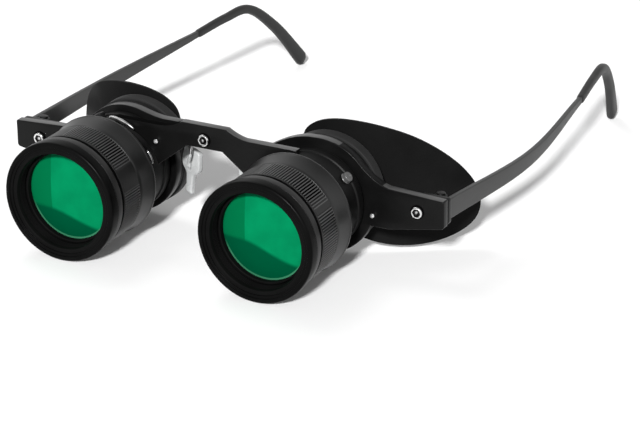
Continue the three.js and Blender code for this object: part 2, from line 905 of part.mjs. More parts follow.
function objectiveNodes(name) {
  const radius = cellBore - seatGap;
  return [
    node(`${name}_objective_cell`, objectiveCell(), 'satinBlack'),
    node(`${name}_objective_lens`, lens(radius, lensFront, cell.lensEdge, cell.lensSag, 4), 'green'),
    node(
      `${name}_objective_ring`,
      tubeRing(radius, radius - cell.ringWall, ringFront, ringFront + cell.ringLength),
      'matteBlack',
    ),
  ];
}

function eyepieceNodes(name) {
  const radius = eyepiece.lensRadius;
  return [
    node(`${name}_eyepiece_housing`, eyepieceHousing(), 'matteBlack'),
    node(`${name}_eyepiece_lens`, lens(radius, eyeLensFront, eyepiece.lensEdge, 0, 1), 'paleGlass'),
    node(
      `${name}_eyepiece_ring`,
      tubeRing(radius, eyepiece.bore, eyeRingFront, eyeRingFront + eyepiece.ringLength),
      'matteBlack',
    ),
    node(`${name}_eyecup`, eyecup(), 'softBlack'),
  ];
}

function barrelNodes(side, name) {
  const group = new THREE.Group();
  group.position.x = side * barrelOffset;
  const angle = side > 0 ? stud.leftAngle : stud.rightAngle;
  group.add(node(`${name}_barrel_shell`, barrelShell(), 'bandGrey'));
  group.add(node(`${name}_lock_stud`, lockStud(angle), 'matteBlack'));
  group.add(node(`${name}_focus_ring`, focusRing(), 'matteBlack'));
  group.add(node(`${name}_side_shade`, handed(sideShade(), side), 'softBlack'));
  group.add(...objectiveNodes(name), ...eyepieceNodes(name));
  return group;
}

// Nose pad: a wide head and a narrow foot that flares at its end
function padOutline() {
  const head = pad.headWidth / 2;
  const foot = pad.footWidth / 2;
  const flare = pad.flareWidth / 2;
  const headCentre = (pad.top + pad.waist) / 2;
  const headHalf = (pad.top - pad.waist) / 2;
  const opening = pad.headOpening / 2;
  const upper = arc(0, 0, 1, opening - 90, 270 - opening, smallSteps);
  const lower = [
    [-foot, pad.waist],
    [-foot, pad.bottom + pad.flareHeight],
    [-flare, pad.bottom],
  ];
  const mirrored = lower.slice().reverse().map(([x, z]) => [-x, z]);
  return [...upper.map(([x, z]) => [x * head, headCentre + z * headHalf]), ...lower, ...mirrored];
}

function nosePad() {
  const geometry = plate(padOutline(), -pad.thickness / 2, pad.thickness / 2);
  geometry.translate(0, 0, -pad.holderLevel).rotateY(-THREE.MathUtils.degToRad(pad.leanAngle));
  geometry.translate(0, 0, pad.holderLevel).rotateZ(THREE.MathUtils.degToRad(pad.yawAngle));
  return geometry.translate(pad.offset, pad.depth, 0);
}

// The arm leaves the frame plate's front face, turns down and ends in a flat holder
function padArm() {
  const yaw = THREE.MathUtils.degToRad(pad.yawAngle);
  const away = pad.thickness / 2 + seatGap;
  const holder = block(
    [-pad.holderWidth / 2, -away - pad.holderDepth, pad.holderLevel - pad.holderHeight / 2],
    [pad.holderWidth / 2, -away, pad.holderLevel + pad.holderHeight / 2],
  );
  holder.rotateZ(yaw).translate(pad.offset, pad.depth, 0);
  const reach = away + pad.holderDepth / 2;
  const end = new THREE.Vector3(pad.offset + reach * Math.sin(yaw), pad.depth - reach * Math.cos(yaw), pad.holderLevel);
  const start = new THREE.Vector3(pad.armSide, frame.front - seatGap, pad.armHeight);
  const ahead = start.clone().setY(start.y - pad.armForward / 2);
  const bend = new THREE.Vector3(pad.armSide, start.y - pad.armForward, (start.z + end.z) / 2);
  const path = new THREE.CatmullRomCurve3([start, ahead, bend, end]).getPoints(10);
  const sizes = path.map(() => 2 * pad.armRadius);
  return joined(swept(path, sizes, sizes, pad.armRadius / 2), holder);
}

function padNodes(side, name) {
  const group = new THREE.Group();
  group.add(node(`${name}_pad_arm`, handed(padArm(), side), 'steel'));
  group.add(node(`${name}_nose_pad`, handed(nosePad(), side), 'clear'));
  return group;
}

const glasses = frameNodes();
for (const [name, side] of [['left', 1], ['right', -1]]) {
  glasses.add(templeNodes(side, name), sideScrews(side, name), barrelNodes(side, name), padNodes(side, name));
}

const box = new THREE.Box3().setFromObject(glasses);
glasses.position.set(0, -(box.min.y + box.max.y) / 2, -box.min.z);

export default glasses;
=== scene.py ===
"""Binocular glasses: a pair of short focusing telescopes on a spectacle frame.

Sizes are millimetres in the frame's own axes: +X to the wearer's left, +Y towards the face,
+Z up, with zero depth on the bridge plate's front face and zero height on the barrels' axes.
Every mesh is built there and then settled into metres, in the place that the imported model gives.
"""

import logging
import math
from dataclasses import dataclass, field, replace
from enum import Enum
from typing import Callable, Iterable, Sequence

import bmesh
import bpy
import numpy as np
from mathutils import Matrix, Vector


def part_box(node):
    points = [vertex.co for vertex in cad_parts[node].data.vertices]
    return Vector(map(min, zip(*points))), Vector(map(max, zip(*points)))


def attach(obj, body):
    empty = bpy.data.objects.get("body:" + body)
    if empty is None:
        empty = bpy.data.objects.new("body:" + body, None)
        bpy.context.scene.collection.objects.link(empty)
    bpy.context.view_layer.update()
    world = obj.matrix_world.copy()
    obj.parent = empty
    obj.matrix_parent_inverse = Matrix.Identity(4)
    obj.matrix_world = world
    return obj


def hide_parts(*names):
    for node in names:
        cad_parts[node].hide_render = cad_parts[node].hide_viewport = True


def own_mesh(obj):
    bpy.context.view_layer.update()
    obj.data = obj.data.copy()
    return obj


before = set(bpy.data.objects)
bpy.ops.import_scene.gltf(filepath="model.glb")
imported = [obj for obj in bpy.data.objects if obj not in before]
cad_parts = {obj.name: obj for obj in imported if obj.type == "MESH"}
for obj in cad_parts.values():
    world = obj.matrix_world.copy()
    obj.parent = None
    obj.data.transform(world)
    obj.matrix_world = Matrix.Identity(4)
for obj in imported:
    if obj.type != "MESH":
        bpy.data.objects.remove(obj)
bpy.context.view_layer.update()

LOG = logging.getLogger("binocular_glasses")

MM = 0.001
SHARP_ANGLE = math.radians(34)
ROUND_STEPS = 144
SMALL_STEPS = 48
CORNER_STEPS = 4
# Names the mark for painted shade in the screws' hexagon sockets.
SOCKET_SHADE = "recess"

Point2 = tuple[float, float]
Point3 = tuple[float, float, float]
Colour = tuple[float, float, float]
Loop = list[Point2]
Mesh = bpy.types.Mesh
Object = bpy.types.Object
Material = bpy.types.Material
Node = bpy.types.Node
Socket = bpy.types.NodeSocket


class Side(Enum):
    """Which of the wearer's sides a piece is on; the value is the sign of its X."""

    LEFT = 1
    RIGHT = -1

    @property
    def word(self) -> str:
        """The side's name, as the bodies and nodes have it."""
        return self.name.lower()


def per_side(left: object, right: object) -> dict:
    """Returns a dataclass field that holds one value for each side."""
    return field(default_factory=lambda: {Side.LEFT: left, Side.RIGHT: right})


def both_sides(x: float, y: float, z: float) -> list[Point3]:
    """Returns a place on the wearer's left and its mirror image."""
    return [(side.value * x, y, z) for side in Side]


class Slot(Enum):
    """The record's material slots."""

    FRAME_BLACK = "frame_black"
    BARREL_BLACK = "barrel_black"
    GRIP_BLACK = "grip_black"
    SOFT_BLACK = "soft_black"
    TEMPLE_GREY = "temple_grey"
    SLEEVE_BLACK = "sleeve_black"
    CHROME = "chrome"
    STEEL = "steel"
    LENS_GREEN = "lens_green"
    EYE_GLASS = "eye_glass"
    PAD_CLEAR = "pad_clear"


@dataclass(frozen=True)
class Layout:
    """Sizes that several sub-assemblies share, in millimetres."""

    half_front: float = 73.0
    barrel_offset: float = 32.6
    pupil_travel: float = 2.0
    seat_gap: float = 0.3
    crest_height: float = 19.4
    frame_front: float = 10.0
    frame_thickness: float = 2.8
    leaf_thickness: float = 2.1
    edge_round: float = 0.22

    @property
    def frame_back(self) -> float:
        """Depth of the frame plate's rear face."""
        return self.frame_front + self.frame_thickness

    @property
    def leaf_front(self) -> float:
        """Depth of the hinge leaves' front faces."""
        return self.frame_back + self.seat_gap

    @property
    def leaf_back(self) -> float:
        """Depth of the hinge leaves' rear faces."""
        return self.leaf_front + self.leaf_thickness


LAYOUT = Layout()


def row_matrix() -> Matrix:
    """Works out where the frame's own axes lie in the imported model.

    Returns:
        The matrix from millimetres in the frame's axes to metres in the row frame.
    """
    low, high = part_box("bridge_plate")
    shift = Vector((0.0, low.y, high.z - LAYOUT.crest_height * MM))
    return Matrix.Translation(shift) @ Matrix.Scale(MM, 4)


TO_ROW = row_matrix()


def row_point(x: float, y: float, z: float) -> Vector:
    """Returns a place in metres in the row frame, from millimetres in the frame's axes."""
    return TO_ROW @ Vector((x, y, z))


# Outlines and curves


def arc(centre: Point2, radius: float, start: float, end: float, steps: int) -> Loop:
    """Returns points along a round stretch between two angles in degrees, both ends included."""
    angles = np.radians(np.linspace(start, end, steps + 1))
    return [(centre[0] + radius * math.cos(a), centre[1] + radius * math.sin(a)) for a in angles]


def quadratic(start: Point2, bend: Point2, end: Point2, steps: int = 12) -> Loop:
    """Works out points along a curve from start to end that bends towards a third point.

    Args:
        start: Where it starts.
        bend: The point that it bends towards.
        end: Where it ends.
        steps: How many chords it has.

    Returns:
        The points in order.
    """
    points = []
    for t in np.linspace(0, 1, steps + 1):
        shares = tuple(zip(((1 - t) ** 2, 2 * t * (1 - t), t * t), (start, bend, end)))
        points.append(tuple(sum(share * p[axis] for share, p in shares) for axis in (0, 1)))
    return points


def full_turn(steps: int) -> list[float]:
    """Returns the angles of a whole turn in equal steps, without its end."""
    return [2 * math.pi * step / steps for step in range(steps)]


def round_point(radius: float, depth: float, angle: float) -> Vector:
    """Returns a point on a circle round Y."""
    return Vector((radius * math.cos(angle), depth, radius * math.sin(angle)))


def squarish(angle: float, width: float, height: float, power: float) -> Point2:
    """Returns a point on an ellipse about the origin, which a higher power makes more like a rectangle."""
    c, s = math.cos(angle), math.sin(angle)
    a = math.copysign(abs(c) ** (2 / power), c) * width / 2
    return a, math.copysign(abs(s) ** (2 / power), s) * height / 2


def mirrored(half: Loop) -> Loop:
    """Returns a half outline, drawn on the right of the mid-plane, closed by its mirror image."""
    return half + [(-x, z) for x, z in reversed(half) if x > 0]


def rounded(corners: Sequence[tuple[float, float, float]], closed: bool = True) -> Loop:
    """Rounds the corners of an outline.

    The lists of corners below give each corner's own rounding as the last number of its row.

    Args:
        corners: Each corner's two coordinates and the length that its rounding takes from each side.
        closed: Whether the last corner joins the first.

    Returns:
        The outline with a short curve at each corner whose length isn't zero.
    """
    points: Loop = []
    count = len(corners)
    for index, (a, b, size) in enumerate(corners):
        inner = closed or 0 < index < count - 1
        if size <= 0 or not inner:
            points.append((a, b))
            continue
        here = Vector((a, b))
        before = Vector(corners[(index - 1) % count][:2]) - here
        after = Vector(corners[(index + 1) % count][:2]) - here
        start = here + before.normalized() * min(size, before.length / 2)
        end = here + after.normalized() * min(size, after.length / 2)
        points += quadratic(tuple(start), (a, b), tuple(end), CORNER_STEPS)
    return points


def centripetal(points: Sequence[Vector], share: float) -> Vector:
    """Reads a smooth curve through a few points.

    Args:
        points: The points that the curve passes through.
        share: How far along it to read, from 0 to 1, evenly between the points.

    Returns:
        The point on the curve.
    """
    spans = len(points) - 1
    scaled = min(max(share, 0.0), 1.0) * spans
    index = min(int(scaled), spans - 1)
    t = scaled - index
    p1, p2 = points[index], points[index + 1]
    p0 = points[index - 1] if index > 0 else 2 * p1 - p2
    p3 = points[index + 2] if index + 2 <= spans else 2 * p2 - p1
    d0, d1, d2 = (math.sqrt((b - a).length) for a, b in ((p0, p1), (p1, p2), (p2, p3)))
    start = ((p1 - p0) / d0 - (p2 - p0) / (d0 + d1) + (p2 - p1) / d1) * d1
    end = ((p2 - p1) / d1 - (p3 - p1) / (d1 + d2) + (p3 - p2) / d2) * d1
    a = 2 * (p1 - p2) + start + end
    b = 3 * (p2 - p1) - 2 * start - end
    return a * t ** 3 + b * t * t + start * t + p1


def even_points(points: Sequence[Vector], count: int, samples: int = 600) -> list[Vector]:
    """Works out places at equal steps of length along the smooth curve through a few points.

    Args:
        points: The points that the curve passes through.
        count: How many places are wanted.
        samples: How finely the curve is measured.

    Returns:
        The points in order.
    """
    dense = [centripetal(points, i / samples) for i in range(samples + 1)]
    reach = np.concatenate([[0], np.cumsum([(b - a).length for a, b in zip(dense, dense[1:])])])
    wanted = np.linspace(0, reach[-1], count)
    columns = [np.interp(wanted, reach, [p[axis] for p in dense]) for axis in range(3)]
    return [Vector(p) for p in zip(*columns)]


# Meshes, all in millimetres until they are settled


def mesh_of(points: Sequence, faces: Sequence) -> Mesh:
    """Makes a mesh with its faces turned outwards and its doubles merged.

    Args:
        points: Its corners.
        faces: Its faces, as lists of corner numbers.

    Returns:
        The mesh.
    """
    mesh = bpy.data.meshes.new("shape")
    mesh.from_pydata([tuple(p) for p in points], [], faces)
    tidy(mesh)
    return mesh


def tidy(mesh: Mesh) -> None:
    """Merges a mesh's doubles, drops empty faces and turns its faces outwards.

    Args:
        mesh: The mesh, which is changed.
    """
    work = bmesh.new()
    work.from_mesh(mesh)
    bmesh.ops.remove_doubles(work, verts=work.verts, dist=1e-4)
    bmesh.ops.dissolve_degenerate(work, dist=1e-5, edges=work.edges)
    bmesh.ops.recalc_face_normals(work, faces=work.faces)
    work.to_mesh(mesh)
    work.free()


def joined(meshes: Iterable[Mesh]) -> Mesh:
    """Makes one mesh that holds several, whose faces stay as they are.

    Args:
        meshes: The meshes, which are used up.

    Returns:
        The new mesh.
    """
    work = bmesh.new()
    for mesh in meshes:
        work.from_mesh(mesh)
        bpy.data.meshes.remove(mesh)
    result = bpy.data.meshes.new("shape")
    work.to_mesh(result)
    work.free()
    return result


def moved(mesh: Mesh, matrix: Matrix) -> Mesh:
    """Moves a mesh by a matrix and keeps its faces outwards when the matrix mirrors.

    Args:
        mesh: The mesh, which is changed.
        matrix: Where it goes.

    Returns:
        The same mesh.
    """
    mesh.transform(matrix)
    if matrix.determinant() < 0:
        mesh.flip_normals()
    return mesh


def to_side(mesh: Mesh, side: Side) -> Mesh:
    """Mirrors a mesh that was drawn for the left when the side is the right."""
    return moved(mesh, Matrix.Scale(side.value, 4, (1, 0, 0)))


def skin(rings: Sequence[Sequence[Vector]], looped: bool, closed: bool = True) -> Mesh:
    """Skins rings of equal length.

    Args:
        rings: The rings in order.
        looped: Whether the last ring joins the first; otherwise a face closes each end.
        closed: Whether each ring's last point joins its first.

    Returns:
        A closed mesh.
    """
    rows, count = len(rings), len(rings[0])
    faces = []
    for row in range(rows if looped else rows - 1):
        here, there = row * count, (row + 1) % rows * count
        for i in range(count if closed else count - 1):
            j = (i + 1) % count
            faces.append((here + i, here + j, there + j, there + i))
    if not looped:
        faces += [tuple(range(count)), tuple(range((rows - 1) * count, rows * count))]
    return mesh_of([p for ring in rings for p in ring], faces)


def lathe(profile: Loop, steps: int = ROUND_STEPS, closed: bool = True) -> Mesh:
    """Turns a profile about the Y axis.

    Args:
        profile: Points of radius and depth.
        steps: How many steps the turn has.
        closed: Whether the profile's last point joins its first; otherwise both lie on the axis.

    Returns:
        A closed mesh.
    """
    rings = [[round_point(radius, depth, angle) for radius, depth in profile] for angle in full_turn(steps)]
    return skin(rings, looped=True, closed=closed)


def sweep(path: Sequence[Vector], section: Callable[[float], Loop]) -> Mesh:
    """Carries a section along a path.

    Args:
        path: The middle line.
        section: Gives the section, sideways and across, at a share of the way.

    Returns:
        A closed mesh with flat ends.
    """
    rings = []
    last = len(path) - 1
    for index, point in enumerate(path):
        along = (path[min(index + 1, last)] - path[max(index - 1, 0)]).normalized()
        sideways = (Vector((1, 0, 0)) - along * along.x).normalized()
        across = sideways.cross(along).normalized()
        rings.append([point + sideways * a + across * b for a, b in section(index / last)])
    return skin(rings, looped=False)


def rounded_section(width: float, height: float, power: float, steps: int = 28) -> Loop:
    """Returns a rounded rectangle about the origin: the power sets how square it is."""
    return [squarish(angle, width, height, power) for angle in full_turn(steps)]


def plate(loops: Sequence[Loop], front: float, back: float, edge: float) -> Mesh:
    """Cuts a plate with rounded edges from an outline and its holes.

    Args:
        loops: The outline and then each hole, as points of X and Z.
        front: Depth of the front face.
        back: Depth of the rear face.
        edge: Radius of the edges' rounding.

    Returns:
        A closed mesh.
    """
    curve = bpy.data.curves.new("outline", "CURVE")
    curve.dimensions = "2D"
    curve.fill_mode = "BOTH"
    curve.extrude = (back - front) / 2 - edge
    curve.bevel_depth = edge
    curve.bevel_resolution = 2
    curve.offset = -edge
    for loop in loops:
        spline = curve.splines.new("POLY")
        spline.points.add(len(loop) - 1)
        for place, (x, z) in zip(spline.points, loop):
            place.co = (x, z, 0, 1)
        spline.use_cyclic_u = True
    mesh = evaluated_mesh(linked("outline", curve))
    bpy.data.curves.remove(curve)
    turn = Matrix.Translation((0, (front + back) / 2, 0)) @ Matrix.Rotation(math.pi / 2, 4, "X")
    mesh.transform(turn)
    tidy(mesh)
    return mesh


def box(low: Sequence[float], high: Sequence[float], edge: float) -> Mesh:
    """Makes a block between two corners, with its edges rounded.

    Args:
        low: The lowest corner.
        high: The highest corner.
        edge: The rounding of the edges.

    Returns:
        A closed mesh.
    """
    work = bmesh.new()
    bmesh.ops.create_cube(work, size=1)
    size = [b - a for a, b in zip(low, high)]
    middle = [(a + b) / 2 for a, b in zip(low, high)]
    bmesh.ops.scale(work, vec=size, verts=work.verts)
    bmesh.ops.translate(work, vec=middle, verts=work.verts)
    bmesh.ops.bevel(work, geom=work.edges[:], offset=edge, segments=3, profile=0.5, affect="EDGES")
    mesh = bpy.data.meshes.new("shape")
    work.to_mesh(mesh)
    work.free()
    return mesh


def linked(name: str, data: bpy.types.ID) -> Object:
    """Returns a new object in the scene that holds a mesh, a curve, a light or a camera."""
    obj = bpy.data.objects.new(name, data)
    bpy.context.scene.collection.objects.link(obj)
    return obj


def evaluated_mesh(obj: Object) -> Mesh:
    """Makes a plain mesh from an object as its modifiers leave it, and removes the object.

    Args:
        obj: The object.

    Returns:
        The new mesh.
    """
    graph = bpy.context.evaluated_depsgraph_get()
    mesh = bpy.data.meshes.new_from_object(obj.evaluated_get(graph))
    bpy.data.objects.remove(obj)
    return mesh


# Node trees


class NodeBuilder:
    """Adds nodes to one tree, and sets or links their inputs."""

    def __init__(self, tree: bpy.types.NodeTree) -> None:
        """Keeps the tree that the nodes go in."""
        self.tree = tree

    def add(self, kind: str, own: dict[str, object] | None = None, **inputs: object) -> Node:
        """Adds a node, and sets or links its inputs.

        Args:
            kind: The node's type.
            own: The node's own settings.
            inputs: Values or sockets, by the input's name with underscores for spaces or by i and its number.

        Returns:
            The node.
        """
        node = self.tree.nodes.new(kind)
        for name, value in (own or {}).items():
            setattr(node, name, value)
        self.feed(node, **inputs)
        return node

    def feed(self, node: Node, **inputs: object) -> None:
        """Sets or links inputs of a node, which are named as in add.

        Args:
            node: The node.
            inputs: Values or sockets.
        """
        for name, given in inputs.items():
            place = node.inputs[int(name[1:]) if name[1:].isdigit() else name.replace("_", " ")]
            if isinstance(given, bpy.types.NodeSocket):
                self.tree.links.new(given, place)
            else:
                place.default_value = given

    def math(self, operation: str, a: object, b: object = 0.0) -> Socket:
        """Returns the result of a sum on two sockets or numbers."""
        return self.add("ShaderNodeMath", {"operation": operation}, i0=a, i1=b).outputs[0]

    def vector(self, **parts: object) -> Socket:
        """Returns a vector made of sockets or numbers for X, Y and Z."""
        return self.add("ShaderNodeCombineXYZ", **parts).outputs[0]

    def parts(self, vector: Socket) -> tuple[Socket, Socket, Socket]:
        """Returns a vector's X, Y and Z."""
        return tuple(self.add("ShaderNodeSeparateXYZ", i0=vector).outputs)

    def step(self, value: Socket, low: float, high: float, bottom: float = 0.0, top: float = 1.0) -> Socket:
        """Returns a smooth step from the bottom value at the low place to the top one at the high place."""
        own = {"interpolation_type": "SMOOTHSTEP"}
        ends = {"From_Min": low, "From_Max": high, "To_Min": bottom, "To_Max": top}
        return self.add("ShaderNodeMapRange", own, Value=value, **ends).outputs[0]

    def rays(self, *kinds: str) -> Socket:
        """Gives a socket that is 1 for any of the named kinds of ray.

        Args:
            kinds: The kinds' names, such as Camera.

        Returns:
            The socket.
        """
        path = self.add("ShaderNodeLightPath")
        first, *others = (path.outputs[f"Is {kind} Ray"] for kind in kinds)
        for other in others:
            first = self.math("MAXIMUM", first, other)
        return first


class GroupBuilder(NodeBuilder):
    """Builds a node group with named inputs and outputs."""

    def __init__(self, name: str, kind: str = "ShaderNodeTree") -> None:
        """Starts an empty group."""
        super().__init__(bpy.data.node_groups.new(name, kind))
        self.source = self.add("NodeGroupInput")
        self.sink = self.add("NodeGroupOutput")

    def value(self, name: str, kind: str = "Float", default: float | int | None = None) -> Socket:
        """Adds a named input.

        Args:
            name: Its name.
            kind: Its socket type, without the leading words.
            default: Its value unless another is given.

        Returns:
            The socket to link from.
        """
        item = self.tree.interface.new_socket(name, in_out="INPUT", socket_type=f"NodeSocket{kind}")
        if default is not None:
            item.default_value = default
        return self.source.outputs[name]

    def result(self, name: str, given: Socket, kind: str = "Float") -> None:
        """Adds a named output and links a socket to it."""
        self.tree.interface.new_socket(name, in_out="OUTPUT", socket_type=f"NodeSocket{kind}")
        self.tree.links.new(given, self.sink.inputs[name])


class TreeBuilder(GroupBuilder):
    """Builds one geometry node tree with named inputs, and runs it with given sizes."""

    def __init__(self, name: str) -> None:
        """Starts a tree that takes in geometry."""
        super().__init__(name, "GeometryNodeTree")
        self.geometry = self.value("Geometry", "Geometry")

    def finish(self, points: Socket, instance: Socket, rotation: object = (0, 0, 0)) -> "TreeBuilder":
        """Ends the tree in copies at points, as real geometry with the material that a run gives.

        Args:
            points: Where the copies stand.
            instance: What is copied.
            rotation: How each copy is turned.

        Returns:
            The finished tree.
        """
        material = self.value("Material", "Material")
        kind = "GeometryNodeInstanceOnPoints"
        copies = self.add(kind, Points=points, Instance=instance, Rotation=rotation)
        real = self.add("GeometryNodeRealizeInstances", Geometry=copies.outputs[0])
        dressed = self.add("GeometryNodeSetMaterial", Geometry=real.outputs[0], Material=material)
        self.result("Geometry", dressed.outputs[0], "Geometry")
        return self

    def run(self, base: Mesh | None, **values: object) -> Mesh:
        """Runs the tree on a mesh.

        Args:
            base: The mesh that goes in, or None for an empty one.
            values: The named inputs, with underscores for spaces.

        Returns:
            The plain mesh that comes out.
        """
        obj = linked("base", base or bpy.data.meshes.new("base"))
        modifier = obj.modifiers.new("tree", "NODES")
        modifier.node_group = self.tree
        items = self.tree.interface.items_tree
        known = {item.name: item.identifier for item in items if item.in_out == "INPUT"}
        for key, given in values.items():
            modifier[known[key.replace("_", " ")]] = given
        return evaluated_mesh(obj)


def axial_ribs_tree() -> TreeBuilder:
    """Builds the tree for fine ribs round a ring, in patches.

    Returns:
        The tree: ribs run along Y and stand on a circle round Y, with none between the patches.
    """
    build = TreeBuilder("axial_ribs")
    count, patches = build.value("Count", "Int"), build.value("Patches", "Int")
    names = ("Radius", "Length", "Middle", "Width", "Height", "Patch Share", "Phase", "Taper")
    radius, length, middle, width, height, share, phase, taper = (build.value(name) for name in names)
    turn = build.math("DIVIDE", build.add("GeometryNodeInputIndex").outputs[0], count)
    angle = build.math("ADD", build.math("MULTIPLY", turn, 2 * math.pi), phase)
    within = build.math("FRACT", build.math("MULTIPLY", turn, patches))
    reach = build.math("ADD", radius, build.math("MULTIPLY", height, 0.5))
    sine, cosine = (build.math("MULTIPLY", build.math(wave, angle), reach) for wave in ("SINE", "COSINE"))
    place = build.vector(X=sine, Y=middle, Z=cosine)
    points = build.add("GeometryNodePoints", Count=count, Position=place)
    above = {"operation": "GREATER_THAN"}
    gap = build.add("FunctionNodeCompare", above, i0=within, i1=share)
    kept = build.add("GeometryNodeDeleteGeometry", Geometry=points.outputs[0], Selection=gap.outputs[0])
    block = build.add("GeometryNodeMeshCube", Size=build.vector(X=width, Y=length, Z=height))
    x, _, z = build.parts(build.add("GeometryNodeInputPosition").outputs[0])
    upper = build.add("FunctionNodeCompare", above, i0=z, i1=0.0)
    inward = build.vector(X=build.math("MULTIPLY", x, taper))
    moves = {"Selection": upper.outputs[0], "Offset": inward}
    ridge = build.add("GeometryNodeSetPosition", Geometry=block.outputs[0], **moves)
    return build.finish(kept.outputs[0], ridge.outputs[0], build.vector(Y=angle))


def turned_rings_tree() -> TreeBuilder:
    """Builds the tree for fine rings that repeat along a bore, as a thread does.

    Returns:
        The tree: rings round Y at a given pitch along Y.
    """
    build = TreeBuilder("turned_rings")
    count, steps = build.value("Count", "Int"), build.value("Steps", "Int", ROUND_STEPS)
    radius, start, pitch, wire = (build.value(name) for name in ("Radius", "Start", "Pitch", "Wire"))
    circle = build.add("GeometryNodeCurvePrimitiveCircle", Resolution=steps, Radius=radius)
    section = build.add("GeometryNodeCurvePrimitiveCircle", Resolution=6, Radius=wire)
    ring = build.add("GeometryNodeCurveToMesh", Curve=circle.outputs[0], Profile_Curve=section.outputs[0])
    ends = {"Start_Location": build.vector(Y=start), "Offset": build.vector(Y=pitch)}
    line = build.add("GeometryNodeMeshLine", Count=count, **ends)
    return build.finish(line.outputs[0], ring.outputs[0], (math.pi / 2, 0, 0))


def fasteners_tree() -> TreeBuilder:
    """Builds the tree that sets copies of one fastener at the corners of a mesh.

    Returns:
        The tree: its geometry input holds the places, and its object input the fastener.
    """
    build = TreeBuilder("fasteners")
    source = build.add("GeometryNodeObjectInfo", Object=build.value("Fastener", "Object"))
    return build.finish(build.geometry, source.outputs["Geometry"])


class Trees:
    """The geometry node trees, each built once."""

    def __init__(self) -> None:
        """Builds the three trees."""
        self.ribs = axial_ribs_tree()
        self.rings = turned_rings_tree()
        self.fasteners = fasteners_tree()


# Shader node groups and finishes


def moulded_grain_group() -> bpy.types.NodeTree:
    """Builds the fine grain of moulded or painted plastic.

    Returns:
        A group that puts out a height, a roughness and a mottle mask.
    """
    build = GroupBuilder("moulded_grain")
    place = build.value("Vector", "Vector")
    scale, mottle_scale = build.value("Scale", default=3000.0), build.value("Mottle Scale", default=90.0)
    low, high = build.value("Low Roughness", default=0.4), build.value("High Roughness", default=0.5)
    grain = build.add("ShaderNodeTexNoise", Vector=place, Scale=scale, Detail=3)
    mottle = build.add("ShaderNodeTexNoise", Vector=place, Scale=mottle_scale, Detail=2)
    ends = {"From_Min": 0.3, "From_Max": 0.7, "To_Min": low, "To_Max": high}
    spread = build.add("ShaderNodeMapRange", Value=mottle.outputs[0], **ends)
    for name, node in (("Height", grain), ("Roughness", spread), ("Mottle", mottle)):
        build.result(name, node.outputs[0])
    return build.tree


def turned_lines_group() -> bpy.types.NodeTree:
    """Builds the fine lines that a lathe leaves round the Y axis.

    Returns:
        A group that puts out a height that changes with the distance from the axis and along it.
    """
    build = GroupBuilder("turned_lines")
    x, y, z = build.parts(build.value("Vector", "Vector"))
    scale = build.value("Scale", default=2200.0)
    length = build.add("ShaderNodeVectorMath", {"operation": "LENGTH"}, i0=build.vector(X=x, Z=z))
    place = build.vector(X=length.outputs["Value"], Y=y)
    build.result("Height", build.add("ShaderNodeTexNoise", Vector=place, Scale=scale).outputs[0])
    return build.tree


class MaterialBuilder(NodeBuilder):
    """One material's nodes: a Principled BSDF with what feeds it."""

    def __init__(self, name: str) -> None:
        """Starts a material that has only its shader and the Object coordinates.

        Args:
            name: The material's name.
        """
        self.material = bpy.data.materials.new(name)
        self.material.use_nodes = True
        super().__init__(self.material.node_tree)
        self.shader = self.tree.nodes["Principled BSDF"]
        self.place = self.add("ShaderNodeTexCoord").outputs["Object"]

    def set(self, **inputs: object) -> None:
        """Sets or links the shader's own inputs."""
        self.feed(self.shader, **inputs)

    def group(self, tree: bpy.types.NodeTree, **values: float) -> Node:
        """Places a node group that reads Object coordinates, with this material's own values."""
        return self.add("ShaderNodeGroup", {"node_tree": tree}, Vector=self.place, **values)

    def grain(self, groups: "Groups", roughness: Point2, **values: float) -> Node:
        """Places the fine grain and gives the shader its roughness.

        Args:
            groups: The shared node groups.
            roughness: The lowest and the highest roughness.
            values: The group's other inputs.

        Returns:
            The group's node.
        """
        low, high = roughness
        node = self.group(groups.grain, Low_Roughness=low, High_Roughness=high, **values)
        self.set(Roughness=node.outputs["Roughness"])
        return node

    def bump(self, height: Socket, depth: float) -> None:
        """Feeds a height into the shader's normal; the depth is in metres."""
        self.set(Normal=self.add("ShaderNodeBump", Distance=depth, Strength=1.0, Height=height).outputs[0])

    def mix(self, factor: Socket, under: Socket, over: Colour) -> Socket:
        """Returns a colour socket with a plain colour laid over it where the factor is 1."""
        own = {"data_type": "RGBA"}
        return self.add("ShaderNodeMix", own, i0=factor, i6=under, i7=(*over, 1.0)).outputs[2]

    def blend(self, value: Socket, low: Colour, high: Colour, ends: Point2 = (0.3, 0.7)) -> Socket:
        """Turns a value into a colour.

        Args:
            value: What the ramp reads.
            low: The colour up to the first end.
            high: The colour from the second end on.
            ends: The two values between which the colours run into each other.

        Returns:
            The colour socket.
        """
        ramp = self.add("ShaderNodeValToRGB", i0=value)
        for element, place, colour in zip(ramp.color_ramp.elements, ends, (low, high)):
            element.position = place
            element.color = (*colour, 1.0)
        return ramp.outputs[0]


def grey(level: float) -> Colour:
    """Returns a neutral colour."""
    return (level, level, level)


def dimmed(colour: Colour, share: float) -> Colour:
    """Returns a share of a colour."""
    return tuple(share * c for c in colour)


@dataclass(frozen=True)
class Finish:
    """A kind of surface, which can build its material."""

    name: str

    def material(self, groups: "Groups") -> Material:
        """Builds the material.

        Args:
            groups: The shared node groups.

        Returns:
            The material.
        """
        build = MaterialBuilder(self.name)
        self.fill(build, groups)
        return build.material

    def fill(self, build: MaterialBuilder, groups: "Groups") -> None:
        """Adds the nodes that make this kind of surface."""
        raise NotImplementedError


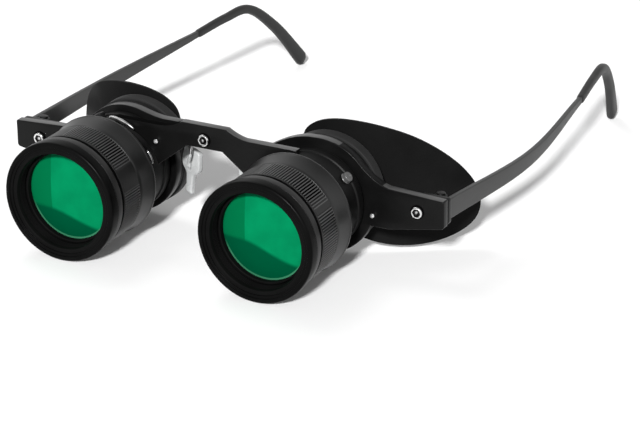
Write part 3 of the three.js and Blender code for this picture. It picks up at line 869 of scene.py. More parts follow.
@dataclass(frozen=True)
class PlasticFinish(Finish):
    """Moulded or painted black plastic with a fine grain."""

    level: float
    roughness: Point2
    specular: float
    scale: float = 3200.0
    depth: float = 0.00001
    mottle: float = 0.25
    sheen: float = 0.0
    sheen_roughness: float = 0.4

    def fill(self, build: MaterialBuilder, groups: "Groups") -> None:
        """Adds the grain and the colour.

        Args:
            build: The material's nodes.
            groups: The shared node groups.
        """
        grain = build.grain(groups, self.roughness, Scale=self.scale)
        low, high = (grey(self.level * (1 + change)) for change in (-self.mottle, self.mottle))
        build.bump(grain.outputs["Height"], self.depth)
        build.set(Base_Color=build.blend(grain.outputs["Mottle"], low, high), Sheen_Weight=self.sheen)
        build.set(Specular_IOR_Level=self.specular, Sheen_Roughness=self.sheen_roughness)


@dataclass(frozen=True)
class MetalFinish(Finish):
    """Plated or turned metal with fine lathe lines."""

    level: float
    roughness: Point2
    depth: float = 0.000004
    lines: float = 2600.0
    mottle_scale: float = 700.0
    dim_share: float = 0.92
    # How dark the painted shade in a socket is.
    recess_level: float = 0.02

    def fill(self, build: MaterialBuilder, groups: "Groups") -> None:
        """Adds the grain, the lathe lines and painted shade in the screws' sockets.

        Args:
            build: The material's nodes.
            groups: The shared node groups.
        """
        grain = build.grain(groups, self.roughness, Mottle_Scale=self.mottle_scale)
        lines = build.group(groups.lines, Scale=self.lines)
        bright = grey(self.level)
        colour = build.blend(grain.outputs["Mottle"], dimmed(bright, self.dim_share), bright)
        # Marked faces turn near black: painted shade in the sockets.
        recess = build.add("ShaderNodeAttribute", {"attribute_name": SOCKET_SHADE}).outputs["Fac"]
        build.bump(lines.outputs["Height"], self.depth)
        build.set(Base_Color=build.mix(recess, colour, grey(self.recess_level)), Metallic=1.0)


@dataclass(frozen=True)
class CoatedLensPaintedLightFinish(Finish):
    """A lens under a green coating, whose colour holds a painted reflection, a painted shadow and a painted
    highlight.

    Places on the lens are millimetres from its centre.
    """

    centre: Vector
    shadow: Point2
    shadow_run: Point2
    # Colours with painted light: the brightest is the green under a painted reflection of the pale floor, the
    # next is the green past that reflection's edge, the darkest is a painted shadow, and the rim's is a
    # painted highlight on the lower bevel.
    bright: Colour = (0.001, 0.185, 0.071)
    middle: Colour = (0.0005, 0.113, 0.04)
    painted_shadow: Colour = (0.0, 0.06, 0.0245)
    rim: Colour = (0.04, 0.2, 0.105)
    cloud_scale: float = 0.16
    cloud_share: float = 0.84
    # Where the painted reflection ends towards the left, and how soft its edge is.
    reflection_edge: float = -6.0
    reflection_edge_blur: float = 0.12
    shadow_blur: Point2 = (0.6, -1.0)
    # Where the painted highlight lies on the lower rim, and how it fades.
    rim_highlight_radius: float = 13.15
    rim_highlight_blur: float = 0.15
    rim_highlight_fade: Point2 = (-3.0, -8.0)
    polish: Point2 = (0.04, 0.08)
    grain_scale: float = 600.0

    def fill(self, build: MaterialBuilder, groups: "Groups") -> None:
        """Adds the coating's green with its painted reflection, painted shadow and painted highlight.

        Args:
            build: The material's nodes.
            groups: The shared node groups.
        """
        own, values = {"vector_type": "TEXTURE"}, {"Location": self.centre, "Scale": (MM, MM, MM)}
        place = build.add("ShaderNodeMapping", own, Vector=build.place, **values).outputs[0]
        x, _, z = build.parts(place)
        clouds = build.add("ShaderNodeTexNoise", Scale=self.cloud_scale, Vector=place).outputs[0]
        colour = build.blend(clouds, self.bright, dimmed(self.bright, self.cloud_share), (0.35, 0.65))
        # Past the reflection's edge the green is darker: the painted reflection ends there.
        beside = build.step(x, self.reflection_edge + self.reflection_edge_blur, self.reflection_edge - self.reflection_edge_blur)
        colour = build.mix(beside, colour, self.middle)
        # Below a sloping line the colour turns to a painted shadow.
        drop = build.math("MULTIPLY", build.step(x, *self.shadow_run), self.shadow[0] - self.shadow[1])
        edge = build.math("SUBTRACT", build.math("ADD", z, drop), self.shadow[0])
        colour = build.mix(build.step(edge, *self.shadow_blur), colour, self.painted_shadow)
        # Along the lower rim a paler crescent is a painted highlight on the bevel.
        squares = (build.math("MULTIPLY", value, value) for value in (x, z))
        radius = build.math("SQRT", build.math("ADD", *squares))
        outside = build.step(radius, self.rim_highlight_radius - self.rim_highlight_blur, self.rim_highlight_radius + self.rim_highlight_blur)
        rim_highlight = build.math("MULTIPLY", outside, build.step(z, *self.rim_highlight_fade))
        build.grain(groups, self.polish, Scale=self.grain_scale)
        build.set(Base_Color=build.mix(rim_highlight, colour, self.rim), Specular_IOR_Level=0.0)


@dataclass(frozen=True)
class ClearFinish(Finish):
    """Clear or milky plastic or glass."""

    colour: Colour
    transmission: float
    roughness: Point2
    ior: float
    subsurface: float = 0.0
    scatter: Colour = (0.004, 0.004, 0.004)
    specular: float = 0.5
    dim_share: float = 0.94
    grain_scale: float = 1400.0
    depth: float = 0.000003

    def fill(self, build: MaterialBuilder, groups: "Groups") -> None:
        """Adds the milky body and the grain.

        Args:
            build: The material's nodes.
            groups: The shared node groups.
        """
        grain = build.grain(groups, self.roughness, Scale=self.grain_scale)
        colour = build.blend(grain.outputs["Mottle"], dimmed(self.colour, self.dim_share), self.colour)
        build.bump(grain.outputs["Height"], self.depth)
        build.set(Base_Color=colour, Transmission_Weight=self.transmission)
        build.set(IOR=self.ior, Specular_IOR_Level=self.specular)
        build.set(Subsurface_Weight=self.subsurface, Subsurface_Radius=self.scatter)


class Groups:
    """The shader node groups, each built once."""

    def __init__(self) -> None:
        """Builds the two groups."""
        self.grain = moulded_grain_group()
        self.lines = turned_lines_group()


# Each plastic's key and name, its brightness, lowest and highest roughness, and specular level.
PLASTICS = (
    ("barrel", "barrel_plastic", 0.0035, (0.42, 0.52), 0.1),
    ("band", "band_plastic", 0.006, (0.36, 0.46), 0.36),
    ("hood", "hood_plastic", 0.002, (0.28, 0.38), 0.045),
    ("inner", "inner_plastic", 0.003, (0.5, 0.6), 0.04),
    ("grip", "grip_plastic", 0.006, (0.36, 0.48), 0.24),
    # The ribs' grey, far paler than the ring, is partly a painted highlight on their ridges.
    ("ribs", "rib_plastic", 0.034, (0.3, 0.4), 0.5),
    ("stud", "stud_metal", 0.06, (0.3, 0.4), 0.6),
    # Near-black laid where only shade falls: painted shade.
    ("felt", "black_felt", 0.0015, (0.8, 0.95), 0.01),
    ("temple", "temple_plastic", 0.028, (0.38, 0.48), 0.3),
    ("sleeve", "sleeve_plastic", 0.012, (0.42, 0.55), 0.28),
)
PAINT_GRAIN = {"scale": 4200.0, "depth": 0.000006}
CUP_GRAIN = {"scale": 2200.0, "depth": 0.00002, "sheen": 0.05}
SHADE_GRAIN = {"scale": 1900.0, "depth": 0.00003, "sheen": 0.015}
# Each metal's key and name, its brightness, and lowest and highest roughness.
METALS = (
    ("chrome", "screw_chrome", 0.86, (0.06, 0.14)),
    ("dull_chrome", "dull_chrome", 0.95, (0.34, 0.44)),
    ("steel", "turned_steel", 0.6, (0.22, 0.34)),
    ("blackened", "blackened_steel", 0.012, (0.3, 0.4)),
)
# Each clear material's key and name, its colour, transmission, roughness, refraction and milkiness.
CLEARS = (
    ("pad", "pad_silicone", (0.47, 0.48, 0.48), 0.08, (0.26, 0.36), 1.4, 0.1),
    ("eye_glass", "eyepiece_glass", (0.55, 0.66, 0.6), 0.85, (0.01, 0.03), 1.5),
)
# For each lens, the painted shadow's height at both ends of its slope, and where the slope starts and ends.
LENS_SHADOWS = {Side.LEFT: ((-2.0, -7.6), (-7.0, 12.0)), Side.RIGHT: ((-4.6, -9.6), (-7.0, 13.0))}


class Finishes:
    """Every material of the glasses, by the part of the object that wears it."""

    def __init__(self) -> None:
        """Builds the materials."""
        rubber = (0.6, 0.75)
        made = {
            "plate": PlasticFinish("plate_paint", 0.0035, (0.3, 0.4), 0.12, **PAINT_GRAIN),
            # A lighter copy of the plate paint: a painted highlight on up-facing faces and on the band's rear
            # edge.
            "edge": PlasticFinish("plate_edge", 0.045, (0.3, 0.4), 0.55, **PAINT_GRAIN),
            "cup": PlasticFinish("cup_rubber", 0.014, rubber, 0.16, **CUP_GRAIN),
            "shade": PlasticFinish("shade_rubber", 0.004, rubber, 0.07, **SHADE_GRAIN),
        }
        for kind, rows in ((PlasticFinish, PLASTICS), (MetalFinish, METALS), (ClearFinish, CLEARS)):
            made |= {key: kind(*values) for key, *values in rows}
        # Each lens's colour holds a painted reflection, a painted shadow and a painted highlight.
        for side, shadow in LENS_SHADOWS.items():
            word = side.word
            low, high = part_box(f"{word}_objective_lens")
            made[f"{word}_lens"] = CoatedLensPaintedLightFinish(f"{word}_lens_coating", (low + high) / 2, *shadow)
        groups = Groups()
        self.by_name = {key: finish.material(groups) for key, finish in made.items()}

    def __getitem__(self, key: str) -> Material:
        """Returns a material by its short name."""
        return self.by_name[key]


FINISHES = Finishes()
TREES = Trees()


# Pieces


def settle(name: str, mesh: Mesh, body: str, finish: str, nodes: Sequence[str] = ()) -> Object:
    """Puts a mesh in its place as a piece of the object.

    Args:
        name: The piece's name.
        mesh: Its mesh, in millimetres in the frame's axes.
        body: The body that it rides on.
        finish: Its material's short name.
        nodes: The nodes that it stands for.

    Returns:
        The object.
    """
    mesh.name = name
    mesh.transform(TO_ROW)
    mesh.shade_smooth()
    mesh.set_sharp_from_angle(angle=SHARP_ANGLE)
    mesh.materials.clear()
    mesh.materials.append(FINISHES[finish])
    obj = linked(name, mesh)
    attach(obj, body)
    if nodes:
        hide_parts(*nodes)
    LOG.info("%s: %d faces, rides on %s", name, len(mesh.polygons), body)
    return obj


def dress(node: str, mesh: Mesh, body: str, finish: str) -> Object:
    """Puts a mesh in the place of one node, and names the piece after the node."""
    return settle(f"{node}_fine", mesh, body, finish, [node])


def second_finish(piece: Object, finish: str, chosen: Callable[[bpy.types.MeshPolygon], bool]) -> None:
    """Gives some of a piece's faces another finish.

    Args:
        piece: The piece, already in its place.
        finish: The other material's short name.
        chosen: Tells whether a face gets it.
    """
    piece.data.materials.append(FINISHES[finish])
    for face in piece.data.polygons:
        if chosen(face):
            face.material_index = len(piece.data.materials) - 1


@dataclass
class PlateFrame:
    """The bridge plate, the frame plate with an arch round each barrel, and the spacer between."""

    bridge_thickness: float = 2.4
    crest_half: float = 7.5
    crest_rise: float = 0.25
    shoulder_height: float = 17.2
    shoulder_start: float = 15.4
    wing_end: float = 30.6
    notch_height: float = 12.3
    notch_half: float = 5.9
    slope_run: float = 12.0
    slope_drop: float = 9.3
    room_radius: float = 15.1
    arch_radius: dict = per_side(18.0, 17.0)
    web_foot: dict = per_side([], [(25.6, 12.6), (21.6, 14.8)])
    web_curve: dict = per_side(
        ((16.6, 12.6), (8.1, 17.9), (2.1, 17.9)),
        ((13.1, 14.8), (10.1, 14.8), (4.6, 16.4)),
    )
    # Faces that face up more than these get the painted highlight.
    bridge_highlight_tilt: float = 0.5
    frame_highlight_tilt: float = 0.93
    # On one wing, up-facing faces between these bounds get painted shade.
    shaded_wing_span: Point2 = (-28.5, -8.0)
    shaded_wing_tilt: float = 0.3
    slot_radius: float = 12.7
    end_top: float = 5.3
    end_bottom: float = -3.5
    root_top: float = 6.2
    root_bottom: float = -6.6
    root_reach: float = 22.5
    fillet_turn: float = 46.0
    fillet_side: float = 17.2
    fillet_height: float = 7.6
    corner: float = 1.1
    top_corner: float = 0.5
    bridge_top: float = 12.6
    bridge_bottom: float = 8.6
    spacer_half: float = 5.6
    spacer_corner: float = 0.5
    spacer_front: Point2 = (12.9, 18.0)
    spacer_back: Point2 = (8.8, 14.6)

    def room_crossing(self) -> float:
        """Finds how far down the bridge plate's slope the barrel's room cuts it off.

        Returns:
            The share of the slope that is left.
        """
        centre = self.wing_end
        a = self.slope_run ** 2 + self.slope_drop ** 2
        b = 2 * (self.slope_run * (self.notch_half - centre) - self.slope_drop * self.notch_height)
        c = (self.notch_half - centre) ** 2 + self.notch_height ** 2 - self.room_radius ** 2
        return (-b - math.sqrt(b * b - 4 * a * c)) / (2 * a)

    def bridge_outline(self) -> Loop:
        """Draws the bridge plate's outline: a raised crest, a wing over each barrel and a notch.

        Returns:
            The points in order.
        """
        share = self.room_crossing()
        foot = (self.notch_half + self.slope_run * share, self.notch_height - self.slope_drop * share)
        foot_turn = math.degrees(math.atan2(foot[1], foot[0] - self.wing_end))
        crest = (self.crest_half, LAYOUT.crest_height + self.crest_rise)
        bend = ((self.crest_half + self.shoulder_start) / 2, self.shoulder_height)
        half = [
            *quadratic(crest, bend, (self.shoulder_start, self.shoulder_height)),
            (self.wing_end, self.shoulder_height),
            *arc((self.wing_end, 0), self.room_radius, 90, foot_turn, 28),
            (self.notch_half, self.notch_height),
        ]
        return mirrored(half)

    def frame_half(self, side: Side) -> Loop:
        """Draws one half of the frame plate's outline: bar, web, arch and end, drawn on the right.

        Args:
            side: Whose half it is; their arches and webs differ a little.

        Returns:
            The points from the top of the mid-plane, over the arch, to its bottom.
        """
        centre = (LAYOUT.barrel_offset, 0.0)
        radius = self.arch_radius[side]
        corner = self.corner
        root = LAYOUT.barrel_offset + self.root_reach
        end = LAYOUT.half_front
        top = self.top_corner
        foot = [(centre[0] - reach, z) for reach, z in self.web_foot[side]]
        web = quadratic(*((centre[0] - reach, z) for reach, z in self.web_curve[side]), 16)
        web_turn = math.degrees(math.atan2(web[-1][1], web[-1][0] - centre[0]))
        low_turn = 180 - math.degrees(math.asin(self.bridge_bottom / radius)) - 360
        under_turn = math.degrees(math.asin(self.root_bottom / radius))
        fillet_start = arc(centre, radius, self.fillet_turn, self.fillet_turn, 1)[0]
        fillet_bend = (LAYOUT.barrel_offset + self.fillet_side, self.fillet_height)
        return [
            (0.0, self.bridge_top),
            *foot,
            *web[:-1],
            *arc(centre, radius, web_turn, self.fillet_turn, 36)[:-1],
            *quadratic(fillet_start, fillet_bend, (root, self.root_top)),
            *arc((end - top, self.end_top - top), top, 90, 0, 6),
            *arc((end - corner, self.end_bottom + corner), corner, 0, -90, 8),
            (root, self.root_bottom),
            *arc(centre, radius, under_turn, low_turn, 96),
            (0.0, self.bridge_bottom),
        ]

    def frame_outline(self) -> Loop:
        """Returns the frame plate's outline: a bar, an arch round each barrel and the two ends."""
        across = [(-x, z) for x, z in reversed(self.frame_half(Side.RIGHT)) if x > 0]
        return self.frame_half(Side.LEFT) + across

    def slot_outline(self, side: Side) -> Loop:
        """Draws the slot that lets one barrel slide in the frame plate.

        Args:
            side: Which side it is for.

        Returns:
            The points in order.
        """
        middle, travel = LAYOUT.barrel_offset, LAYOUT.pupil_travel
        outer = arc((middle + travel, 0), self.slot_radius, -90, 90, 48)
        inner = arc((middle - travel, 0), self.slot_radius, 90, 270, 48)
        return [(side.value * x, z) for x, z in outer + inner]

    def spacer(self) -> Mesh:
        """Makes the block between the two plates, lower at its back.

        Returns:
            A closed mesh.
        """
        front = self.bridge_thickness + LAYOUT.seat_gap
        back = LAYOUT.frame_front - LAYOUT.seat_gap
        rings = []
        for depth, (low, high) in ((front, self.spacer_front), (back, self.spacer_back)):
            half, size = self.spacer_half, self.spacer_corner
            corners = [(-half, low, size), (half, low, size), (half, high, size), (-half, high, size)]
            rings.append([Vector((x, depth, z)) for x, z in rounded(corners)])
        return skin(rings, looped=False)

    def build(self) -> None:
        """Makes the two plates and the spacer."""
        edge = LAYOUT.edge_round
        bridge = plate([self.bridge_outline()], 0, self.bridge_thickness, edge)
        piece = dress("bridge_plate", bridge, "frame", "plate")
        low, high = (row_point(x, 0, 0).x for x in self.shaded_wing_span)
        # The bridge plate's up-facing faces get a painted highlight.
        second_finish(piece, "edge", lambda face: face.normal.z > self.bridge_highlight_tilt)
        # Up-facing faces on one wing get painted shade.
        tilt = self.shaded_wing_tilt
        second_finish(piece, "felt", lambda face: face.normal.z > tilt and low < face.center.x < high)
        loops = [self.frame_outline(), *(self.slot_outline(side) for side in Side)]
        rear = plate(loops, LAYOUT.frame_front, LAYOUT.frame_back, edge)
        piece = dress("frame_plate", rear, "frame", "plate")
        # The frame plate's top faces get a painted highlight.
        second_finish(piece, "edge", lambda face: face.normal.z > self.frame_highlight_tilt)
        dress("bridge_spacer", self.spacer(), "frame", "plate")


@dataclass
class Fasteners:
    """The chrome button screws with hexagon sockets, and the small slotted set screws."""

    head_radius: float = 1.85
    head_height: float = 0.7
    socket_radius: float = 1.22
    socket_depth: float = 0.45
    shank_radius: float = 0.9
    shank_length: float = 5.2
    head_chamfer: float = 0.08
    head_lip: float = 0.12
    socket_rim: float = 0.22
    socket_lip: float = 0.06
    socket_draft: float = 0.04
    socket_flat: float = 0.93
    drill: tuple[Point2, Point2] = ((0.62, 0.02), (0.12, 0.1))
    # Where the painted shade in each socket starts, and between which radii it lies.
    socket_shade_depth: float = 0.1
    socket_shade_radii: Point2 = (0.5, 1.34)
    set_radius: float = 0.66
    set_height: float = 0.5
    set_edges: Point2 = (0.06, 0.04)
    set_overlap: float = 0.1
    slot_width: float = 0.3
    slot_depth: float = 0.26
    # A black ring just behind each button head is painted shade round it.
    shadow_ring_radii: Point2 = (1.0, 2.15)
    shadow_ring_depths: Point2 = (-0.24, -0.04)
    end_inset: float = 8.4
    end_height: float = 0.7
    bridge_height: float = 15.1
    set_reach: float = 17.7
    set_low: float = -3.0
    bridge_set: Point2 = (-16.3, 11.9)
    back_side: float = 3.4
    back_height: float = 10.9
    back_length: float = 4.0

    def button(self, length: float) -> Mesh:
        """Makes a button-head screw along Y, whose head rests on depth zero.

        Args:
            length: How far its shank reaches behind the face.

        Returns:
            A closed mesh.
        """
        seat = -LAYOUT.seat_gap
        front = seat - self.head_height
        floor = front + self.socket_depth
        top = self.socket_radius + self.socket_rim
        shank, head, socket = self.shank_radius, self.head_radius, self.socket_radius
        lip = seat - self.head_lip
        outer = [(shank, length), (shank, seat), (head - self.head_chamfer, seat)]
        for angle in np.linspace(0, math.pi / 2, 7):
            outer.append((top + (head - top) * math.cos(angle), lip - (lip - front) * math.sin(angle)))
        inner = [(socket, front + self.socket_lip), (socket - self.socket_draft, floor)]
        drilled = [(radius, floor + sink) for radius, sink in self.drill]
        rings = []
        for point, rows in ((round_point, outer), (self.hex_point, inner), (round_point, drilled)):
            rings += [[point(*row, turn) for turn in full_turn(SMALL_STEPS)] for row in rows]
        mesh = skin(rings, looped=False)
        # The socket's walls and floor are marked for painted shade; the middle of its floor stays unmarked.
        recess = mesh.attributes.new(SOCKET_SHADE, "FLOAT", "POINT")
        least, most = self.socket_shade_radii
        for place, value in zip(mesh.vertices, recess.data):
            deep = front + self.socket_shade_depth < place.co.y < seat
            value.value = 1.0 if deep and least < math.hypot(place.co.x, place.co.z) < most else 0.0
        return mesh

    def hex_point(self, radius: float, depth: float, angle: float) -> Vector:
        """Returns a point on a hexagon round Y, whose flats lie a little closer than the radius."""
        across = (angle % (math.pi / 3)) - math.pi / 6
        return round_point(radius * self.socket_flat / math.cos(across), depth, angle)

    def set_screw(self) -> Mesh:
        """Makes a slotted set screw along Y that stands on depth zero: two halves and a floor.

        Returns:
            A closed mesh.
        """
        back = -LAYOUT.seat_gap
        front = back - self.set_height
        floor = front + self.slot_depth
        limit = math.degrees(math.asin(self.slot_width / 2 / self.set_radius))
        half_edge, base_edge = self.set_edges
        parts = []
        for turn in (0, 180):
            shape = arc((0, 0), self.set_radius, turn + limit, turn + 180 - limit, 20)
            parts.append(plate([shape], front, floor + self.set_overlap, half_edge))
        base = arc((0, 0), self.set_radius, 0, 360, 40)[:-1]
        parts.append(plate([base], floor, back, base_edge))
        return joined(parts)

    def copies(
        self,
        name: str,
        fastener: Mesh,
        places: Sequence[Point3],
        slot: Slot,
        finish: str,
        nodes: Sequence[str] = (),
    ) -> None:
        """Makes one piece of the frame from copies of a fastener.

        Args:
            name: The piece's name.
            fastener: The fastener's mesh.
            places: Where each copy's face stands.
            slot: Not used.
            finish: The material's short name.
            nodes: The nodes that it stands for.
        """
        source = linked("fastener", fastener)
        spots = bpy.data.meshes.new("spots")
        spots.from_pydata(places, [], [])
        mesh = TREES.fasteners.run(spots, Fastener=source, Material=FINISHES[finish])
        bpy.data.objects.remove(source)
        settle(name, mesh, "frame", finish, nodes)

    def build(self) -> None:
        """Makes the bridge screw, the end screws, the set screws and the two spacer screws."""
        ends = both_sides(LAYOUT.half_front - self.end_inset, LAYOUT.frame_front, self.end_height)
        places = [(0, 0, self.bridge_height), *ends]
        nodes = ["bridge_screw", "left_end_screw", "right_end_screw"]
        self.copies("button_screws", self.button(self.shank_length), places, Slot.CHROME, "chrome", nodes)
        # Black rings round the button heads: painted shade.
        (inner, outer), (front, back) = self.shadow_ring_radii, self.shadow_ring_depths
        disc = lathe([(inner, front), (outer, front), (outer, back), (inner, back)], SMALL_STEPS)
        self.copies("button_screw_seats", disc, places, Slot.FRAME_BLACK, "felt")
        spots = both_sides(LAYOUT.barrel_offset + self.set_reach, LAYOUT.frame_front, self.set_low)
        spots.append((self.bridge_set[0], 0, self.bridge_set[1]))
        nodes = ["bridge_set_screw", "left_end_set_screw", "right_end_set_screw"]
        self.copies("slotted_set_screws", self.set_screw(), spots, Slot.CHROME, "dull_chrome", nodes)
        turned = moved(self.button(self.back_length), Matrix.Rotation(math.pi, 4, "Z"))
        spots = both_sides(self.back_side, LAYOUT.frame_back, self.back_height)
        nodes = ["left_spacer_screw", "right_spacer_screw"]
        self.copies("spacer_screws_fine", turned, spots, Slot.STEEL, "steel", nodes)


@dataclass
class Hinge:
    """The leaf behind each end of the frame plate, its knuckles and the leaning pin."""

    leaf_inner: float = 55.4
    leaf_top: float = 5.0
    leaf_bottom: float = -3.2
    corner: float = 1.0
    pin_inset: float = 4.8
    pin_setback: float = 2.5
    pin_radius: float = 0.6
    pin_head: float = 1.4
    pin_head_height: float = 0.5
    knuckle_radius: float = 1.9
    knuckle_height: float = 1.9
    arm_edge: float = 0.15
    lean: float = math.radians(3.2)
    level: float = 0.8

    @property
    def pin_x(self) -> float:
        """The pin's distance from the mid-plane."""
        return LAYOUT.half_front - self.pin_inset

    @property
    def pin_y(self) -> float:
        """The pin's depth."""
        return LAYOUT.leaf_back + self.pin_setback

    @property
    def pitch(self) -> float:
        """The step from one knuckle to the next along the pin."""
        return self.knuckle_height + LAYOUT.seat_gap

    def leaned(self, mesh: Mesh, side: Side) -> Mesh:
        """Puts a mesh that stands about Z onto the pin's axis, before any mirroring."""
        turn = Matrix.Rotation(self.lean * side.value, 4, "Y")
        return moved(mesh, Matrix.Translation((self.pin_x, self.pin_y, self.level)) @ turn)

    def knuckle(self, level: float, side: Side) -> Mesh:
        """Makes one knuckle: a rounded barrel with a hole for the pin.

        Args:
            level: How far up the pin its middle stands.
            side: Which side it is for.

        Returns:
            A closed mesh.
        """
        half, bore = self.knuckle_height / 2, self.pin_radius + LAYOUT.seat_gap / 2
        outer = self.knuckle_radius
        corners = [(bore, -half, 0), (outer, -half, 0.2), (outer, half, 0.2), (bore, half, 0)]
        mesh = lathe(rounded(corners), SMALL_STEPS)
        upright = Matrix.Translation((0, 0, level)) @ Matrix.Rotation(math.pi / 2, 4, "X")
        return self.leaned(moved(mesh, upright), side)

    def leaf(self, side: Side) -> Mesh:
        """Makes the leaf with its two knuckles.

        Args:
            side: Which side it is for.

        Returns:
            A closed mesh.
        """
        end = LAYOUT.half_front - self.corner
        outline = [
            (self.leaf_inner, self.leaf_top),
            *arc((end, self.leaf_top - self.corner), self.corner, 90, 0, 8),
            *arc((end, self.leaf_bottom + self.corner), self.corner, 0, -90, 8),
            (self.leaf_inner, self.leaf_bottom),
        ]
        parts = [plate([outline], LAYOUT.leaf_front, LAYOUT.leaf_back, LAYOUT.edge_round)]
        half, radius = self.knuckle_height / 2, self.knuckle_radius
        reach = self.pin_setback + LAYOUT.leaf_thickness / 2
        bore = self.pin_radius + LAYOUT.seat_gap
        for level in (-self.pitch, self.pitch):
            arm = box((-radius, -reach, level - half), (radius, -bore, level + half), self.arm_edge)
            parts += [self.knuckle(level, side), self.leaned(arm, side)]
        return joined(parts)

    def pin(self, side: Side) -> Mesh:
        """Makes the pin with its domed head.

        Args:
            side: Which side it is for.

        Returns:
            A closed mesh.
        """
        top = self.pitch + self.knuckle_height / 2
        head = top + LAYOUT.seat_gap
        tall = head + self.pin_head_height
        thin, wide = self.pin_radius, self.pin_head
        corners = [(0, -top, 0), (thin, -top, 0.15), (thin, head, 0)]
        corners += [(wide, head, 0.1), (wide, tall - 0.05, 0.3), (0.4, tall, 0.1), (0, tall, 0)]
        mesh = lathe(rounded(corners, closed=False), SMALL_STEPS, closed=False)
        return self.leaned(moved(mesh, Matrix.Rotation(math.pi / 2, 4, "X")), side)

    def build(self, side: Side) -> None:
        """Makes one side's leaf and pin.

        Args:
            side: Which side it is for.
        """
        word = side.word
        leaf, pin = to_side(self.leaf(side), side), to_side(self.pin(side), side)
        dress(f"{word}_hinge_leaf", leaf, "frame", "plate")
        dress(f"{word}_hinge_pin", pin, "frame", "blackened")


@dataclass
class Temple:
    """A temple strip that narrows towards its sleeve, and the sleeve that drops behind the ear."""

    hinge: Hinge
    inset: float = 1.6
    thickness: float = 1.6
    root_height: float = 6.4
    mid: Point3 = (3.1, 68.0, -1.5)
    mid_height: float = 4.7
    end: Point3 = (-1.0, 116.0, -0.1)
    end_height: float = 2.1
    start_width: float = 2.5
    start_height: float = 2.7
    tip_width: float = 3.2
    tip_height: float = 5.4
    apex: Point3 = (-4.9, 144.5, 0.7)
    tip: Point3 = (-11.8, 172.0, -26.4)
    bow_share: float = 0.55
    bow_rise: float = 0.8
    drop_share: float = 0.42
    drop_lag: float = 1.6
    strip_edge: float = 0.42
    sleeve_power: float = 2.7
    mouth_share: float = 0.82
    mouth_run: float = 0.9
    tip_share: float = 0.12
    strip_steps: int = 60
    sleeve_steps: int = 90

    @property
    def x(self) -> float:
        """The strip's distance from the mid-plane at its root."""
        return LAYOUT.half_front - self.inset

    def spot(self, place: Sequence[float]) -> Vector:
        """Returns a place whose first number is measured from the strip's root."""
        return Vector((self.x + place[0], place[1], place[2]))

    def strip_points(self) -> list[Vector]:
        """Returns the three points that the strip passes through."""
        root = Vector((self.x, LAYOUT.leaf_back + LAYOUT.seat_gap, self.hinge.level))
        return [root, self.spot(self.mid), self.spot(self.end)]

    def sleeve_points(self) -> list[Vector]:
        """Works out the five points that the sleeve passes through.

        Returns:
            The points in order.
        """
        start, apex, tip = self.spot(self.end), self.spot(self.apex), self.spot(self.tip)
        bow = start.lerp(apex, self.bow_share)
        bow.z += self.bow_rise
        drop = apex.lerp(tip, self.drop_share)
        drop.y += self.drop_lag
        drop.z += self.drop_lag
        return [start, bow, apex, drop, tip]

    def strip_height(self, share: float) -> float:
        """Returns the strip's height at a share of its length."""
        bend = 2 * self.mid_height - (self.root_height + self.end_height) / 2
        rest = 1 - share
        return self.root_height * rest ** 2 + 2 * bend * share * rest + self.end_height * share ** 2

    def strip(self, side: Side) -> Mesh:
        """Makes the strip with its knuckle and the short arm that joins them.

        Args:
            side: Which side it is for.

        Returns:
            A closed mesh.
        """
        points = self.strip_points()
        path = [centripetal(points, i / self.strip_steps) for i in range(self.strip_steps + 1)]
        body = sweep(path, lambda share: self.bevelled(self.thickness, self.strip_height(share)))
        half, radius = self.hinge.knuckle_height / 2, self.hinge.knuckle_radius
        bore = self.hinge.pin_radius + LAYOUT.seat_gap
        reach = self.x - self.hinge.pin_x
        arm = box((bore, -radius, -half), (reach, radius, half), self.hinge.arm_edge)
        parts = [body, self.hinge.knuckle(0, side), self.hinge.leaned(arm, side)]
        return joined(parts)

    def bevelled(self, width: float, height: float) -> Loop:
        """Returns the strip's section, with rounded edges."""
        half, tall = width / 2, height / 2
        size = min(self.strip_edge, tall / 2, half / 1.5)
        return rounded([(half, -tall, size), (half, tall, size), (-half, tall, size), (-half, -tall, size)])

    def sleeve(self) -> Mesh:
        """Makes the sleeve, closed by a rounded tip and a small rounded mouth.

        Returns:
            A closed mesh.
        """
        path = even_points(self.sleeve_points(), self.sleeve_steps + 1)
        length = sum((b - a).length for a, b in zip(path, path[1:]))

        def section(share: float) -> Loop:
            """Draws the section at a share of the length, drawn in at both ends.

            Args:
                share: How far along the sleeve, from 0 to 1.

            Returns:
                The points in order.
            """
            width = self.start_width + (self.tip_width - self.start_width) * share
            height = self.start_height + (self.tip_height - self.start_height) * share ** 2
            left = (1 - share) * length / (self.tip_height / 2)
            tip = math.sqrt(max(0.0, 1 - (1 - min(left, 1.0)) ** 2))
            mouth = self.mouth_share + (1 - self.mouth_share) * min(1.0, share * length / self.mouth_run)
            scale = max(tip, self.tip_share) * mouth
            return rounded_section(width * scale, height * scale, self.sleeve_power)

        return sweep(path, section)

    def build(self, side: Side) -> None:
        """Makes one side's strip and sleeve.

        Args:
            side: Which side it is for.
        """
        word = side.word
        strip, sleeve = to_side(self.strip(side), side), to_side(self.sleeve(), side)
        body = f"{word}_side_arm"
        dress(f"{word}_temple", strip, body, "temple")
        dress(f"{word}_temple_sleeve", sleeve, body, "sleeve")


